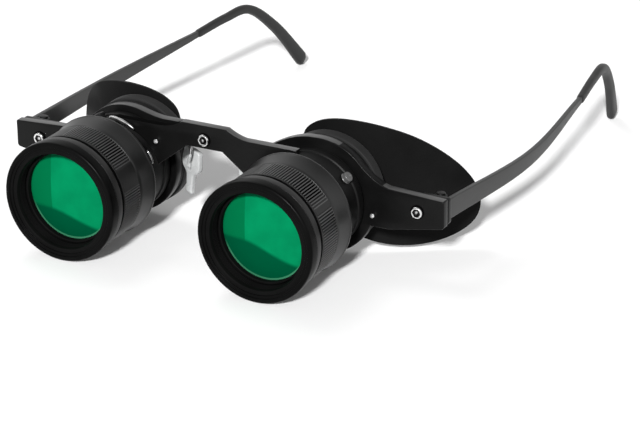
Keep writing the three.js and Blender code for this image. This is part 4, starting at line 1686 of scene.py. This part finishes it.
@dataclass
class Telescope:
    """One barrel: its shell, focus ring, objective cell and lens, and the eyepiece behind."""

    band_front: float = -12.2
    band_back: float = -4.9
    band_front_radius: float = 17.6
    band_back_radius: float = 18.6
    flare_front: Point2 = (0.15, 0.5)
    flare_middle: Point2 = (0.3, -3.4)
    flare_back: Point2 = (-0.12, -0.75)
    body_radius: float = 14.8
    body_wall: float = 1.3
    ledge_depths: Point3 = (5.9, 6.2, 9.0)
    ledge_rise: float = 0.45
    tail_radius: float = 12.4
    guide_radius: float = 16.3
    guide_wall: float = 0.8
    guide_front: float = -24.6
    hood_front: float = -29.3
    hood_back: float = -25.8
    hood_radius: float = 18.5
    mouth_radius: float = 17.0
    step_radius: float = 16.1
    step_depth: float = 0.35
    lip_radius: float = 14.85
    bore_radius: float = 14.6
    bore_run: float = 1.2
    seat_lip: float = 0.5
    thread_count: int = 7
    thread_start: float = 2.1
    thread_pitch: float = 0.36
    thread_wire: float = 0.13
    thread_sink: float = 0.02
    cell_radius: float = 15.2
    cell_end: float = -16.0
    grip_front: float = -25.45
    grip_back: float = -12.55
    collar_radius: float = 18.3
    groove_front: float = -22.9
    groove_back: float = -21.4
    groove_depth: float = 1.0
    # The black ring in the groove is painted shade.
    groove_shade_sink: float = 0.1
    groove_shade_overlap: float = 0.05
    rib_front: float = -20.8
    grip_radius: float = 17.9
    rib_depth: float = 0.8
    rib_sink: float = 0.1
    rib_taper: float = -0.2
    rib_count: int = 132
    rib_width_share: float = 0.46
    land_ramp: float = 3.6
    land_top_sink: float = 0.03
    land_floor_sink: float = 0.06
    land_depth: float = 0.08
    land_insets: Point2 = (0.02, 0.12)
    rib_phase: float = math.radians(-9.5)
    rib_patches: dict = per_side((5, 0.91), (4, 0.745))
    lens_radius: float = 14.3
    lens_front: float = -22.5
    lens_edge: float = 2.2
    lens_sag: float = 1.4
    lens_face_share: float = 0.955
    lens_face_rise: float = 0.12
    lens_bevel: float = 0.35
    ring_front: float = -24.6
    ring_back: float = -22.8
    ring_inner: float = 13.6
    eye_bore: float = 8.2
    eye_tube: float = 9.9
    eye_tube_back: float = 21.5
    flange_radius: float = 16.6
    flange_back: float = 15.5
    eye_lens_radius: float = 9.0
    eye_lens_front: float = 17.8
    eye_lens_edge: float = 1.5
    eye_lens_sag: float = 0.3
    eye_lens_face_share: float = 0.97
    eye_lens_bevel: float = 0.45
    eye_ring: Point2 = (19.6, 21.2)
    cup_radius: float = 17.3
    cup_front: float = 15.8
    cup_floor: float = 17.5
    cup_back: float = 19.3
    cup_wall: float = 1.5
    bar_power: float = 3.0
    bar_end_power: int = 6
    bar_end_least: float = 0.02
    # Two bright bent bars on one barrel are painted highlights: a glint on its top and a glint on the band's
    # rear edge.
    glint_turns: Point2 = (88.0, 58.0)
    glint_radii: Point2 = (16.5, 17.8)
    glint_depths: Point2 = (-1.4, -0.4)
    band_glint_turns: Point2 = (33.0, 17.0)
    band_glint_radii: Point2 = (15.2, 16.3)
    band_glint_depths: Point2 = (-1.2, -0.4)
    stud_radius: float = 1.55
    stud_height: float = 1.45
    stud_depth: float = 4.5
    stud_turn: dict = per_side(39.0, 113.0)
    stud_finish: dict = per_side("stud", "barrel")
    # Stretches with another finish: the piece, the finish, the outer radius, the front and the back.
    stretches: tuple[tuple[str, str, float, float, float], ...] = (
        # The floor between the ribs gets painted shade.
        ("focus_ring", "felt", 17.5, -20.6, -12.6),
        ("objective_cell", "inner", 16.0, -28.9, -16.0),
        ("barrel_shell", "barrel", 18.0, -4.8, 16.0),
        # The band's rear edge gets a painted highlight.
        ("barrel_shell", "edge", 19.0, -5.25, -4.9),
    )

    @staticmethod
    def refinish(piece: Object, side: Side, finish: str, radius: float, front: float, back: float) -> None:
        """Gives a piece's faces another finish, inside a radius and between two depths.

        Args:
            piece: The piece.
            side: Whose barrel it is on.
            finish: The other material's short name.
            radius: Faces whose middles lie further out keep their finish.
            front: Depth where the stretch starts.
            back: Depth where it ends.
        """
        centre = row_point(side.value * LAYOUT.barrel_offset, 0, 0)

        def chosen(face: bpy.types.MeshPolygon) -> bool:
            """Tells whether a face lies in the stretch."""
            place = (face.center - centre) / MM
            return math.hypot(place.x, place.z) < radius and front < place.y < back

        second_finish(piece, finish, chosen)

    def centred(self, mesh: Mesh, side: Side) -> Mesh:
        """Moves a mesh that was turned about Y to that side's barrel."""
        return moved(mesh, Matrix.Translation((side.value * LAYOUT.barrel_offset, 0, 0)))

    def shell(self) -> Mesh:
        """Makes the guide tube, the flared band, the body and the tail, as one shell.

        Returns:
            A closed mesh.
        """
        body_back = LAYOUT.frame_front - LAYOUT.seat_gap
        guide_bore = self.guide_radius - self.guide_wall
        body_bore, tail_bore = self.body_radius - self.body_wall, self.tail_radius - self.body_wall
        ledge_start, ledge_front, ledge_back = self.ledge_depths
        ledge = self.body_radius + self.ledge_rise
        narrow, wide = self.band_front_radius, self.band_back_radius
        starts = ((narrow, self.band_front), (narrow, self.band_back), (wide, self.band_back))
        shifts = (self.flare_front, self.flare_middle, self.flare_back)
        flare = quadratic(*((r + dr, y + dy) for (r, y), (dr, dy) in zip(starts, shifts)), 10)
        corners = [
            (guide_bore, self.guide_front, 0.1),
            (self.guide_radius, self.guide_front, 0.15),
            (self.guide_radius, self.band_front, 0),
            (narrow - 0.1, self.band_front, 0.2),
            *((r, y, 0) for r, y in flare),
            (wide, self.band_back - 0.6, 0.1),
            (wide, self.band_back, 0.25),
            (wide - 1.2, self.band_back + 0.15, 0.2),
            (self.body_radius, self.band_back + 0.6, 0.3),
            (self.body_radius, ledge_start, 0),
            (ledge, ledge_front, 0.15),
            (ledge, ledge_back, 0.3),
            (self.body_radius - 0.3, body_back, 0.15),
            (self.tail_radius, body_back, 0),
            (self.tail_radius, LAYOUT.leaf_front, 0.1),
            (tail_bore, LAYOUT.leaf_front, 0),
            (tail_bore, body_back - self.body_wall, 0),
            (body_bore, body_back - self.body_wall, 0),
            (body_bore, self.cell_end + LAYOUT.seat_gap, 0),
            (guide_bore, self.cell_end + LAYOUT.seat_gap, 0),
        ]
        return lathe(rounded(corners))

    def grip_base(self) -> Mesh:
        """Makes the focus ring's body: a smooth collar in front, and the floor of the ribs.

        Returns:
            A closed mesh.
        """
        bore = self.guide_radius + LAYOUT.seat_gap
        floor, lip = self.grip_radius - self.rib_depth, self.grip_radius - 0.05
        corners = [
            (bore, self.grip_front, 0.05),
            (self.collar_radius, self.grip_front, 0.12),
            (self.collar_radius - 0.15, self.groove_front, 0.15),
            (self.grip_radius - self.groove_depth, self.groove_front, 0),
            (self.grip_radius - self.groove_depth, self.groove_back, 0),
            (lip, self.groove_back, 0.12),
            (lip, self.rib_front, 0.1),
            (floor, self.rib_front + 0.15, 0),
            (floor, self.grip_back, 0.1),
            (bore, self.grip_back, 0.05),
        ]
        return lathe(rounded(corners))

    def grip_ribs(self, side: Side) -> Mesh:
        """Makes the focus ring's fine ribs, in patches.

        Args:
            side: Which side it is for.

        Returns:
            A closed mesh.
        """
        front, back = self.rib_front, self.grip_back - 0.1
        pitch = 2 * math.pi * self.grip_radius / self.rib_count
        patches, share = self.rib_patches[side]
        return TREES.ribs.run(
            None,
            Count=self.rib_count,
            Radius=self.grip_radius - self.rib_depth - self.rib_sink,
            Length=back - front,
            Middle=(front + back) / 2,
            Width=pitch * self.rib_width_share,
            Height=self.rib_depth + self.rib_sink,
            Patches=patches,
            Patch_Share=share,
            Phase=self.rib_phase,
            Taper=self.rib_taper,
            Material=FINISHES["ribs"],
        )

    def grip_lands(self, side: Side) -> Mesh:
        """Makes the smooth stretches between the patches of ribs, whose ends slope down among the ribs.

        Args:
            side: Which side it is for.

        Returns:
            A closed mesh.
        """
        patches, share = self.rib_patches[side]
        floor = self.grip_radius - self.rib_depth - self.land_floor_sink
        top = self.grip_radius - self.land_top_sink
        base, (lead, trail) = floor - self.land_depth, self.land_insets
        front, back = self.rib_front + lead, self.grip_back - trail
        ramp = self.land_ramp / self.rib_count
        parts = []
        for patch in range(patches):
            start, end = (patch + share) / patches - ramp, (patch + 1) / patches + ramp
            rings = []
            for turn in np.linspace(start, end, 30):
                rise = min(1.0, (turn - start) / ramp, (end - turn) / ramp)
                outer = floor + (top - floor) * rise
                angle = 2 * math.pi * turn + self.rib_phase
                corners = ((base, front), (outer, front), (outer, back), (base, back))
                rings.append([Vector((r * math.sin(angle), y, r * math.cos(angle))) for r, y in corners])
            parts.append(skin(rings, looped=False))
        return joined(parts)

    def bent_bar(self, turns: Point2, radii: Point2, depths: Point2) -> Mesh:
        """Makes a bar bent round the barrel's axis, with eased ends.

        Args:
            turns: Where it starts and ends, in degrees from the wearer's left.
            radii: How far its inside and its outside lie from the axis.
            depths: Where its front and its back are.

        Returns:
            A closed mesh.
        """
        middle, half = sum(radii) / 2, (radii[1] - radii[0]) / 2
        centre, deep = sum(depths) / 2, (depths[1] - depths[0]) / 2
        rings = []
        for share in np.linspace(0, 1, 28):
            angle = math.radians(turns[0] + (turns[1] - turns[0]) * share)
            size = 2 * math.sqrt(max(self.bar_end_least, 1 - (2 * share - 1) ** self.bar_end_power))
            section = rounded_section(half * size, deep * size, self.bar_power, 20)
            rings.append([round_point(middle + a, centre + b, angle) for a, b in section])
        return skin(rings, looped=False)

    def grip_seal(self) -> Mesh:
        """Makes the black ring that fills the focus ring's groove, as painted shade in the groove.

        Returns:
            A closed mesh.
        """
        over = self.groove_shade_overlap
        outer, inner = self.grip_radius - self.groove_shade_sink, self.grip_radius - self.groove_depth - over
        front, back = self.groove_front - over, self.groove_back + over
        return lathe([(inner, front), (outer, front), (outer, back), (inner, back)])

    def cell(self) -> Mesh:
        """Makes the objective cell: the stepped hood and the tube that holds the lens.

        Returns:
            A closed mesh.
        """
        seat = self.lens_front + self.lens_edge + LAYOUT.seat_gap
        first, second = self.hood_front + self.step_depth, self.hood_front + 2 * self.step_depth
        corners = [
            (self.mouth_radius, self.hood_front, 0.1),
            (self.hood_radius, self.hood_front, 0.9),
            (self.hood_radius, self.hood_back - 0.12, 0.1),
            (self.hood_radius - 0.12, self.hood_back, 0.05),
            (self.cell_radius, self.hood_back, 0),
            (self.cell_radius, self.cell_end, 0.1),
            (self.bore_radius - self.seat_lip, self.cell_end, 0.1),
            (self.bore_radius - self.seat_lip, seat, 0),
            (self.bore_radius, seat, 0),
            (self.bore_radius, second + self.bore_run, 0),
            (self.lip_radius, second, 0.15),
            (self.step_radius, second, 0.08),
            (self.step_radius, first, 0.08),
            (self.mouth_radius, first, 0.08),
        ]
        return lathe(rounded(corners))

    def cell_threads(self) -> Mesh:
        """Makes the fine rings inside the cell, between its step and the retaining ring.

        Returns:
            A closed mesh.
        """
        return TREES.rings.run(
            None,
            Count=self.thread_count,
            Radius=self.bore_radius - self.thread_sink,
            Start=self.hood_front + self.thread_start,
            Pitch=self.thread_pitch,
            Wire=self.thread_wire,
            Material=FINISHES["hood"],
        )

    def lens(self) -> Mesh:
        """Makes the objective lens: a domed front, a polished bevel and a flat back.

        Returns:
            A closed mesh.
        """
        radius, front = self.lens_radius, self.lens_front
        back = front + self.lens_edge
        face, face_front = radius * self.lens_face_share, front - self.lens_face_rise
        dome = [(face * t, face_front - self.lens_sag * (1 - t * t)) for t in np.linspace(0, 1, 20)]
        profile = [*dome, (radius, front + self.lens_bevel), (radius, back), (0.0, back)]
        return lathe(profile, closed=False)

    def ring(self, outer: float, inner: float, front: float, back: float) -> Mesh:
        """Returns a retaining ring with eased edges."""
        corners = [(inner, front + 0.1, 0.1), (inner + 0.25, front, 0.08)]
        corners += [(outer, front, 0.1), (outer, back, 0.1), (inner, back, 0.1)]
        return lathe(rounded(corners))

    def eyepiece(self) -> Mesh:
        """Makes the eyepiece housing: a flange, a tube and the lens's pocket.

        Returns:
            A closed mesh.
        """
        front = LAYOUT.leaf_front + LAYOUT.seat_gap
        pocket = self.eye_lens_front - LAYOUT.seat_gap
        bore = self.eye_lens_radius + LAYOUT.seat_gap
        corners = [
            (self.eye_bore, front, 0.1),
            (self.flange_radius, front, 0.3),
            (self.flange_radius, self.flange_back, 0.3),
            (self.eye_tube, self.flange_back, 0.2),
            (self.eye_tube, self.eye_tube_back, 0.3),
            (bore, self.eye_tube_back, 0.1),
            (bore, pocket, 0),
            (self.eye_bore, pocket, 0),
        ]
        return lathe(rounded(corners))

    def cup(self) -> Mesh:
        """Makes the soft eyecup with its rolled rim.

        Returns:
            A closed mesh.
        """
        bore = self.eye_tube + LAYOUT.seat_gap
        inner = self.cup_radius - self.cup_wall
        corners = [
            (bore, self.cup_front, 0.2),
            (self.cup_radius - 0.15, self.cup_front, 0.5),
            (self.cup_radius, self.cup_back, 0.7),
            (inner, self.cup_back, 0.6),
            (inner - 1.8, self.cup_floor, 0.6),
            (bore, self.cup_floor, 0.3),
        ]
        return lathe(rounded(corners))

    def stud(self, side: Side) -> Mesh:
        """Makes the lock stud that stands on the barrel's body.

        Args:
            side: Which side it is for.

        Returns:
            A closed mesh.
        """
        radius, top = self.stud_radius, self.stud_height
        corners = [(0, 0, 0), (radius + 0.15, 0, 0), (radius, 0.25, 0.1), (radius, top, 0.35)]
        corners += [(0.55, top, 0.1), (0.5, top - 0.2, 0.05), (0, top - 0.2, 0)]
        mesh = lathe(rounded(corners, closed=False), SMALL_STEPS, closed=False)
        angle = math.radians(self.stud_turn[side])
        out = Vector((math.cos(angle), 0, math.sin(angle)))
        turn = Vector((0, 1, 0)).rotation_difference(out).to_matrix().to_4x4()
        base = out * (self.body_radius + LAYOUT.seat_gap) + Vector((0, self.stud_depth, 0))
        return moved(mesh, Matrix.Translation(base) @ turn)

    def glass(self) -> Mesh:
        """Makes the eyepiece lens, slightly domed towards the eye.

        Returns:
            A closed mesh.
        """
        radius, front = self.eye_lens_radius, self.eye_lens_front
        back = front + self.eye_lens_edge
        face = radius * self.eye_lens_face_share
        dome = [(face * (1 - t), back - self.eye_lens_sag * (1 - t) ** 2) for t in np.linspace(0, 1, 12)]
        profile = [(0.0, front), (radius, front), (radius, back - self.eye_lens_bevel), *dome]
        return lathe(profile, closed=False)

    def build(self, side: Side) -> None:
        """Makes one side's barrel.

        Args:
            side: Which side it is for.
        """
        word = side.word
        barrel, grip, objective = f"{word}_barrel", f"{word}_grip", f"{word}_objective"
        ring = self.ring(self.lens_radius, self.ring_inner, self.ring_front, self.ring_back)
        eye_ring = self.ring(self.eye_lens_radius, self.eye_bore, *self.eye_ring)
        pieces = [
            ("barrel_shell", self.shell(), barrel, Slot.BARREL_BLACK, "band"),
            ("lock_stud", self.stud(side), barrel, Slot.BARREL_BLACK, self.stud_finish[side]),
            ("focus_ring", self.grip_base(), grip, Slot.GRIP_BLACK, "grip"),
            ("grip_ribs", self.grip_ribs(side), grip, Slot.GRIP_BLACK, "ribs"),
            ("grip_lands", self.grip_lands(side), grip, Slot.GRIP_BLACK, "grip"),
            # A black ring in the groove: painted shade.
            ("grip_seal", self.grip_seal(), grip, Slot.GRIP_BLACK, "felt"),
            ("objective_cell", self.cell(), objective, Slot.BARREL_BLACK, "hood"),
            ("cell_threads", self.cell_threads(), objective, Slot.BARREL_BLACK, "inner"),
            ("objective_ring", ring, objective, Slot.GRIP_BLACK, "inner"),
            ("eyepiece_housing", self.eyepiece(), barrel, Slot.BARREL_BLACK, "barrel"),
            ("eyepiece_ring", eye_ring, barrel, Slot.GRIP_BLACK, "barrel"),
            ("eyepiece_lens", self.glass(), barrel, Slot.EYE_GLASS, "eye_glass"),
            ("eyecup", self.cup(), barrel, Slot.SOFT_BLACK, "cup"),
        ]
        # Bright bars that stand for glints: painted highlights.
        if side is Side.RIGHT:
            clip = self.bent_bar(self.glint_turns, self.glint_radii, self.glint_depths)
            band_glint = self.bent_bar(self.band_glint_turns, self.band_glint_radii, self.band_glint_depths)
            pieces += [
                ("barrel_clip", clip, barrel, Slot.BARREL_BLACK, "steel"),
                ("barrel_catch", band_glint, barrel, Slot.BARREL_BLACK, "steel"),
            ]
        pieces.append(("objective_lens", self.lens(), objective, Slot.LENS_GREEN, f"{word}_lens"))
        for part, mesh, body, slot, finish in pieces:
            node = f"{word}_{part}"
            nodes = [node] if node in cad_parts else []
            piece = settle(f"{node}_fine", self.centred(mesh, side), body, finish, nodes)
            for dressed, *stretch in self.stretches:
                if dressed == part:
                    self.refinish(piece, side, *stretch)


@dataclass
class SideShade:
    """The soft oval leaf behind each eyecup, swept back on the outside."""

    reach: float = 12.4
    height: float = 0.3
    rise: dict = per_side(0.45, -0.5)
    half_length: float = 26.6
    half_width: float = 17.2
    power: float = 1.84
    roll: float = -0.566
    slope: float = 0.455
    sweep_radius: float = 30.4
    thickness: float = 1.2
    hole_radius: float = 10.3
    cup_back: float = 19.3
    cup_gap: float = 0.45
    cad_thickness: float = 1.4
    turns: int = 160
    rings: int = 26
    rim_bulge: float = 0.006
    rim_samples: int = 2000
    keep: float = 0.08

    @property
    def depth(self) -> float:
        """Depth of the leaf's middle surface where it isn't swept."""
        return self.cup_back + self.cup_gap + self.cad_thickness / 2 + self.slope ** 2 * self.sweep_radius / 2

    def surface(self, x: float, z: float) -> Vector:
        """Returns the middle surface's point over a place that is measured from the leaf's centre."""
        y = self.slope * x + x * x / (2 * self.sweep_radius) + self.depth
        return Vector((self.reach + x, y, self.height + z))

    def rim_point(self, turn: float) -> Point2:
        """Returns a place on the leaf's rim, from its centre, at an angle of its own ellipse."""
        u, w = squarish(turn, 2 * self.half_length, 2 * self.half_width, self.power)
        c, s = math.cos(self.roll), math.sin(self.roll)
        return u * c - w * s, u * s + w * c

    def even_rim(self) -> Loop:
        """Works out rim places at even angles about the hole.

        Returns:
            The points in order.
        """
        dense = [self.rim_point(turn) for turn in full_turn(self.rim_samples)]
        angles = np.array([math.atan2(z + self.height, x + self.reach) for x, z in dense])
        order = np.argsort(angles)
        wanted = np.linspace(-math.pi, math.pi, self.turns, endpoint=False)
        columns = [
            np.interp(wanted, angles[order], np.array([p[axis] for p in dense])[order], period=2 * math.pi)
            for axis in (0, 1)
        ]
        return list(zip(*columns))

    def build_mesh(self) -> Mesh:
        """Makes the leaf: two skins, a rolled rim and an eased hole.

        Returns:
            A closed mesh.
        """
        rim = self.even_rim()
        wanted = np.linspace(-math.pi, math.pi, self.turns, endpoint=False)
        reach = self.hole_radius
        hole = [(reach * math.cos(a) - self.reach, reach * math.sin(a) - self.height) for a in wanted]
        half = self.thickness / 2
        shares = np.linspace(0, 1, self.rings)
        turns = np.linspace(-math.pi / 2, math.pi / 2, 7)[1:-1]
        loop = [(share, -half) for share in shares]
        loop += [(1 + self.rim_bulge * math.cos(a), half * math.sin(a)) for a in turns]
        loop += [(share, half) for share in reversed(shares)]
        rings = []
        for share, lift in loop:
            ring = []
            for (hx, hz), (rx, rz) in zip(hole, rim):
                ring.append(self.lifted(hx + (rx - hx) * share, hz + (rz - hz) * share, lift))
            rings.append(ring)
        return skin(rings, looped=True)

    def lifted(self, x: float, z: float, lift: float) -> Vector:
        """Returns a point that stands off the middle surface, square to it."""
        rise = self.slope + x / self.sweep_radius
        normal = Vector((-rise, 1, 0)).normalized()
        return self.surface(x, z) + normal * lift

    def build(self, side: Side) -> None:
        """Makes one side's shade.

        Args:
            side: Which side it is for.
        """
        mesh = replace(self, height=self.height + self.rise[side]).build_mesh()
        mesh.transform(Matrix.Translation((LAYOUT.barrel_offset, 0, 0)))
        word = side.word
        mesh = to_side(mesh, side)
        node = f"{word}_side_shade"
        piece = settle(f"{node}_soft", mesh, f"{word}_barrel", "shade", [node])
        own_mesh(piece)


@dataclass
class NosePad:
    """A clear pad with a wide head and a narrow foot, on a short wire arm with a flat holder."""

    offset: float = 10.3
    depth: float = 10.3
    top: float = 7.2
    waist: float = -1.6
    bottom: float = -7.8
    head_width: float = 8.5
    foot_width: float = 2.6
    flare_width: float = 3.1
    flare_height: float = 1.4
    thickness: float = 1.9
    yaw: float = math.radians(22)
    lean: float = math.radians(9)
    arm_radius: float = 0.5
    arm_height: float = 10.4
    arm_forward: float = 2.9
    arm_side: float = 8.9
    shoulder_share: float = 0.86
    waist_rise: float = 2.2
    waist_step: float = 0.3
    pad_edge: float = 0.55
    holder: Point3 = (1.8, 0.7, 2.4)
    holder_edge: float = 0.25
    holder_level: float = 2.4
    clear_below: float = 6.5

    def outline(self) -> Loop:
        """Draws the pad's outline, with its head's corners rounded.

        Returns:
            The points in order.
        """
        head, foot, flare = self.head_width / 2, self.foot_width / 2, self.flare_width / 2
        right = [
            (head * self.shoulder_share, self.top, 1.2),
            (head, self.waist + self.waist_rise, 2.0),
            (foot + self.waist_step, self.waist + self.waist_step, 0.9),
            (foot, self.bottom + self.flare_height, 0.8),
            (flare, self.bottom, 0.5),
        ]
        left = [(-x, z, size) for x, z, size in reversed(right)]
        return rounded(right + left)

    def stance(self) -> Matrix:
        """Returns the matrix that puts a pad from the origin in its place beside the nose."""
        return Matrix.Translation((self.offset, self.depth, 0)) @ Matrix.Rotation(self.yaw, 4, "Z")

    def pad(self) -> Mesh:
        """Makes the pad, with soft edges.

        Returns:
            A closed mesh.
        """
        half = self.thickness / 2
        body = plate([self.outline()], -half, half, self.pad_edge)
        pivot = Matrix.Translation((0, 0, self.holder_level))
        return moved(body, self.stance() @ pivot @ Matrix.Rotation(-self.lean, 4, "Y") @ pivot.inverted())

    def arm(self) -> Mesh:
        """Makes the wire arm from the frame plate's front face, and the holder at its end.

        Returns:
            A closed mesh.
        """
        away = self.thickness / 2 + LAYOUT.seat_gap
        width, deep, tall = self.holder
        low = (-width / 2, -away - deep, self.holder_level - tall / 2)
        high = (width / 2, -away, self.holder_level + tall / 2)
        holder = moved(box(low, high, self.holder_edge), self.stance())
        end = self.stance() @ Vector((0, -away - deep / 2, self.holder_level))
        start = Vector((self.arm_side, LAYOUT.frame_front - LAYOUT.seat_gap, self.arm_height))
        ahead = start - Vector((0, self.arm_forward / 2, 0))
        bend = Vector((self.arm_side, start.y - self.arm_forward, (start.z + end.z) / 2))
        path = even_points([start, ahead, bend, end], 30)
        size = 2 * self.arm_radius
        wire = sweep(path, lambda share: rounded_section(size, size, 2, 16))
        return joined([wire, holder])

    def build(self, side: Side) -> None:
        """Makes one side's pad and arm.

        Args:
            side: Which side it is for.
        """
        word = side.word
        pad, arm = to_side(self.pad(), side), to_side(self.arm(), side)
        dress(f"{word}_nose_pad", pad, f"{word}_pad", "pad")
        piece = dress(f"{word}_pad_arm", arm, "frame", "steel")
        level = row_point(0, 0, self.clear_below).z
        second_finish(piece, "pad", lambda face: face.center.z < level)


@dataclass
class Studio:
    """The camera of the photograph, the pale floor under the object, and soft lights."""

    camera_place: Point3 = (380.47, -642.22, 311.91)
    forward: Point3 = (-0.4318, 0.8102, -0.3963)
    right: Point3 = (0.8842, 0.4669, -0.0088)
    lens: float = 154.13
    sensor: float = 36.0
    clip: Point2 = (0.05, 20.0)
    rest_front: Point2 = (-28.8, -18.55)
    rest_back: Point2 = (171.5, -27.34)
    floor_size: float = 700.0
    floor_front: float = -160.0
    floor_level: float = 0.93
    floor_dim: float = 0.99
    floor_cloud: float = 40.0
    floor_roughness: float = 0.9
    glow: float = 0.06
    ambient: float = 0.18
    ceiling: float = 0.3
    horizon: Point2 = (0.42, 0.75)
    key_place: Point3 = (-420, 240, 720)
    key_target: Point3 = (0, 40, 0)
    key_size: float = 0.4
    key_power: float = 1.6
    sun_source: Point3 = (0.56, -1.6, 1.0)
    sun_angle: float = math.radians(5.5)
    sun_strength: float = 5.2

    def camera(self) -> None:
        """Makes the camera at the photograph's place and angle."""
        data = bpy.data.cameras.new("camera")
        data.sensor_width = self.sensor
        data.lens = self.lens
        data.clip_start, data.clip_end = self.clip
        camera = linked("camera", data)
        ahead = Vector(self.forward).normalized()
        right = Vector(self.right)
        right = (right - ahead * right.dot(ahead)).normalized()
        up = right.cross(ahead)
        turn = Matrix((right, up, -ahead)).transposed().to_4x4()
        camera.matrix_world = Matrix.Translation(row_point(*self.camera_place)) @ turn
        bpy.context.scene.camera = camera

    def world(self) -> None:
        """Makes the surroundings: white where they are seen, with a dim ceiling in what is mirrored."""
        world = bpy.data.worlds.new("studio")
        bpy.context.scene.world = world
        world.use_nodes = True
        build = NodeBuilder(world.node_tree)
        height = build.parts(build.add("ShaderNodeTexCoord").outputs["Generated"])[2]
        room = build.step(height, *self.horizon, 1.0, self.ceiling)
        mirrored_ray = build.rays("Glossy", "Transmission")
        lit = build.add("ShaderNodeMix", i0=mirrored_ray, i2=self.ambient, i3=room).outputs[0]
        seen = build.add("ShaderNodeMix", i0=build.rays("Camera"), i2=lit, i3=1.0).outputs[0]
        build.feed(build.tree.nodes["Background"], Color=(1, 1, 1, 1), Strength=seen)

    def floor(self) -> None:
        """Makes the floor, through the hoods' lowest points and the temples' tips."""
        (y0, z0), (y1, z1) = self.rest_front, self.rest_back
        slope = (z1 - z0) / (y1 - y0)
        reach, front = self.floor_size / 2, self.floor_front
        back = front + self.floor_size
        places = ((-reach, front), (reach, front), (reach, back), (-reach, back))
        corners = [(x, y, z0 + slope * (y - y0)) for x, y in places]
        mesh = bpy.data.meshes.new("floor")
        mesh.from_pydata(corners, [], [(0, 1, 2, 3)])
        mesh.transform(TO_ROW)
        floor = linked("floor", mesh)
        build = MaterialBuilder("floor_paper")
        noise = build.add("ShaderNodeTexNoise", Vector=build.place, Scale=self.floor_cloud).outputs[0]
        white = grey(self.floor_level)
        glow = build.math("MULTIPLY", build.rays("Camera", "Glossy", "Transmission"), self.glow)
        build.set(Base_Color=build.blend(noise, dimmed(white, self.floor_dim), white))
        build.set(Roughness=self.floor_roughness, Specular_IOR_Level=0.0)
        build.set(Emission_Color=(1, 1, 1, 1), Emission_Strength=glow)
        mesh.materials.append(build.material)

    @staticmethod
    def lamp(name: str, kind: str, matrix: Matrix, **settings: object) -> None:
        """Makes a light with its own settings.

        Args:
            name: Its name.
            kind: Its type.
            matrix: Its place and turn.
            settings: Its own settings.
        """
        data = bpy.data.lights.new(name, kind)
        for key, value in settings.items():
            setattr(data, key, value)
        linked(name, data).matrix_world = matrix

    def lamps(self) -> None:
        """Makes the square soft light above and the even light from the front."""
        here, there = row_point(*self.key_place), row_point(*self.key_target)
        aimed = Matrix.Translation(here) @ (there - here).to_track_quat("-Z", "Y").to_matrix().to_4x4()
        self.lamp("key", "AREA", aimed, shape="SQUARE", size=self.key_size, energy=self.key_power)
        turned = Vector(self.sun_source).to_track_quat("Z", "Y").to_matrix().to_4x4()
        self.lamp("front", "SUN", turned, angle=self.sun_angle, energy=self.sun_strength)

    def build(self) -> None:
        """Makes the camera, the surroundings, the floor and the lights."""
        self.camera()
        self.world()
        self.floor()
        self.lamps()


def main() -> None:
    """Builds the studio and then each sub-assembly of the glasses."""
    logging.basicConfig(level=logging.INFO, format="%(name)s: %(message)s")
    scene = bpy.context.scene
    scene.view_settings.view_transform = "Standard"
    Studio().build()
    PlateFrame().build()
    Fasteners().build()
    hinge = Hinge()
    for side in Side:
        hinge.build(side)
        Temple(hinge).build(side)
        Telescope().build(side)
        SideShade().build(side)
        NosePad().build(side)


if __name__ == "__main__":
    main()
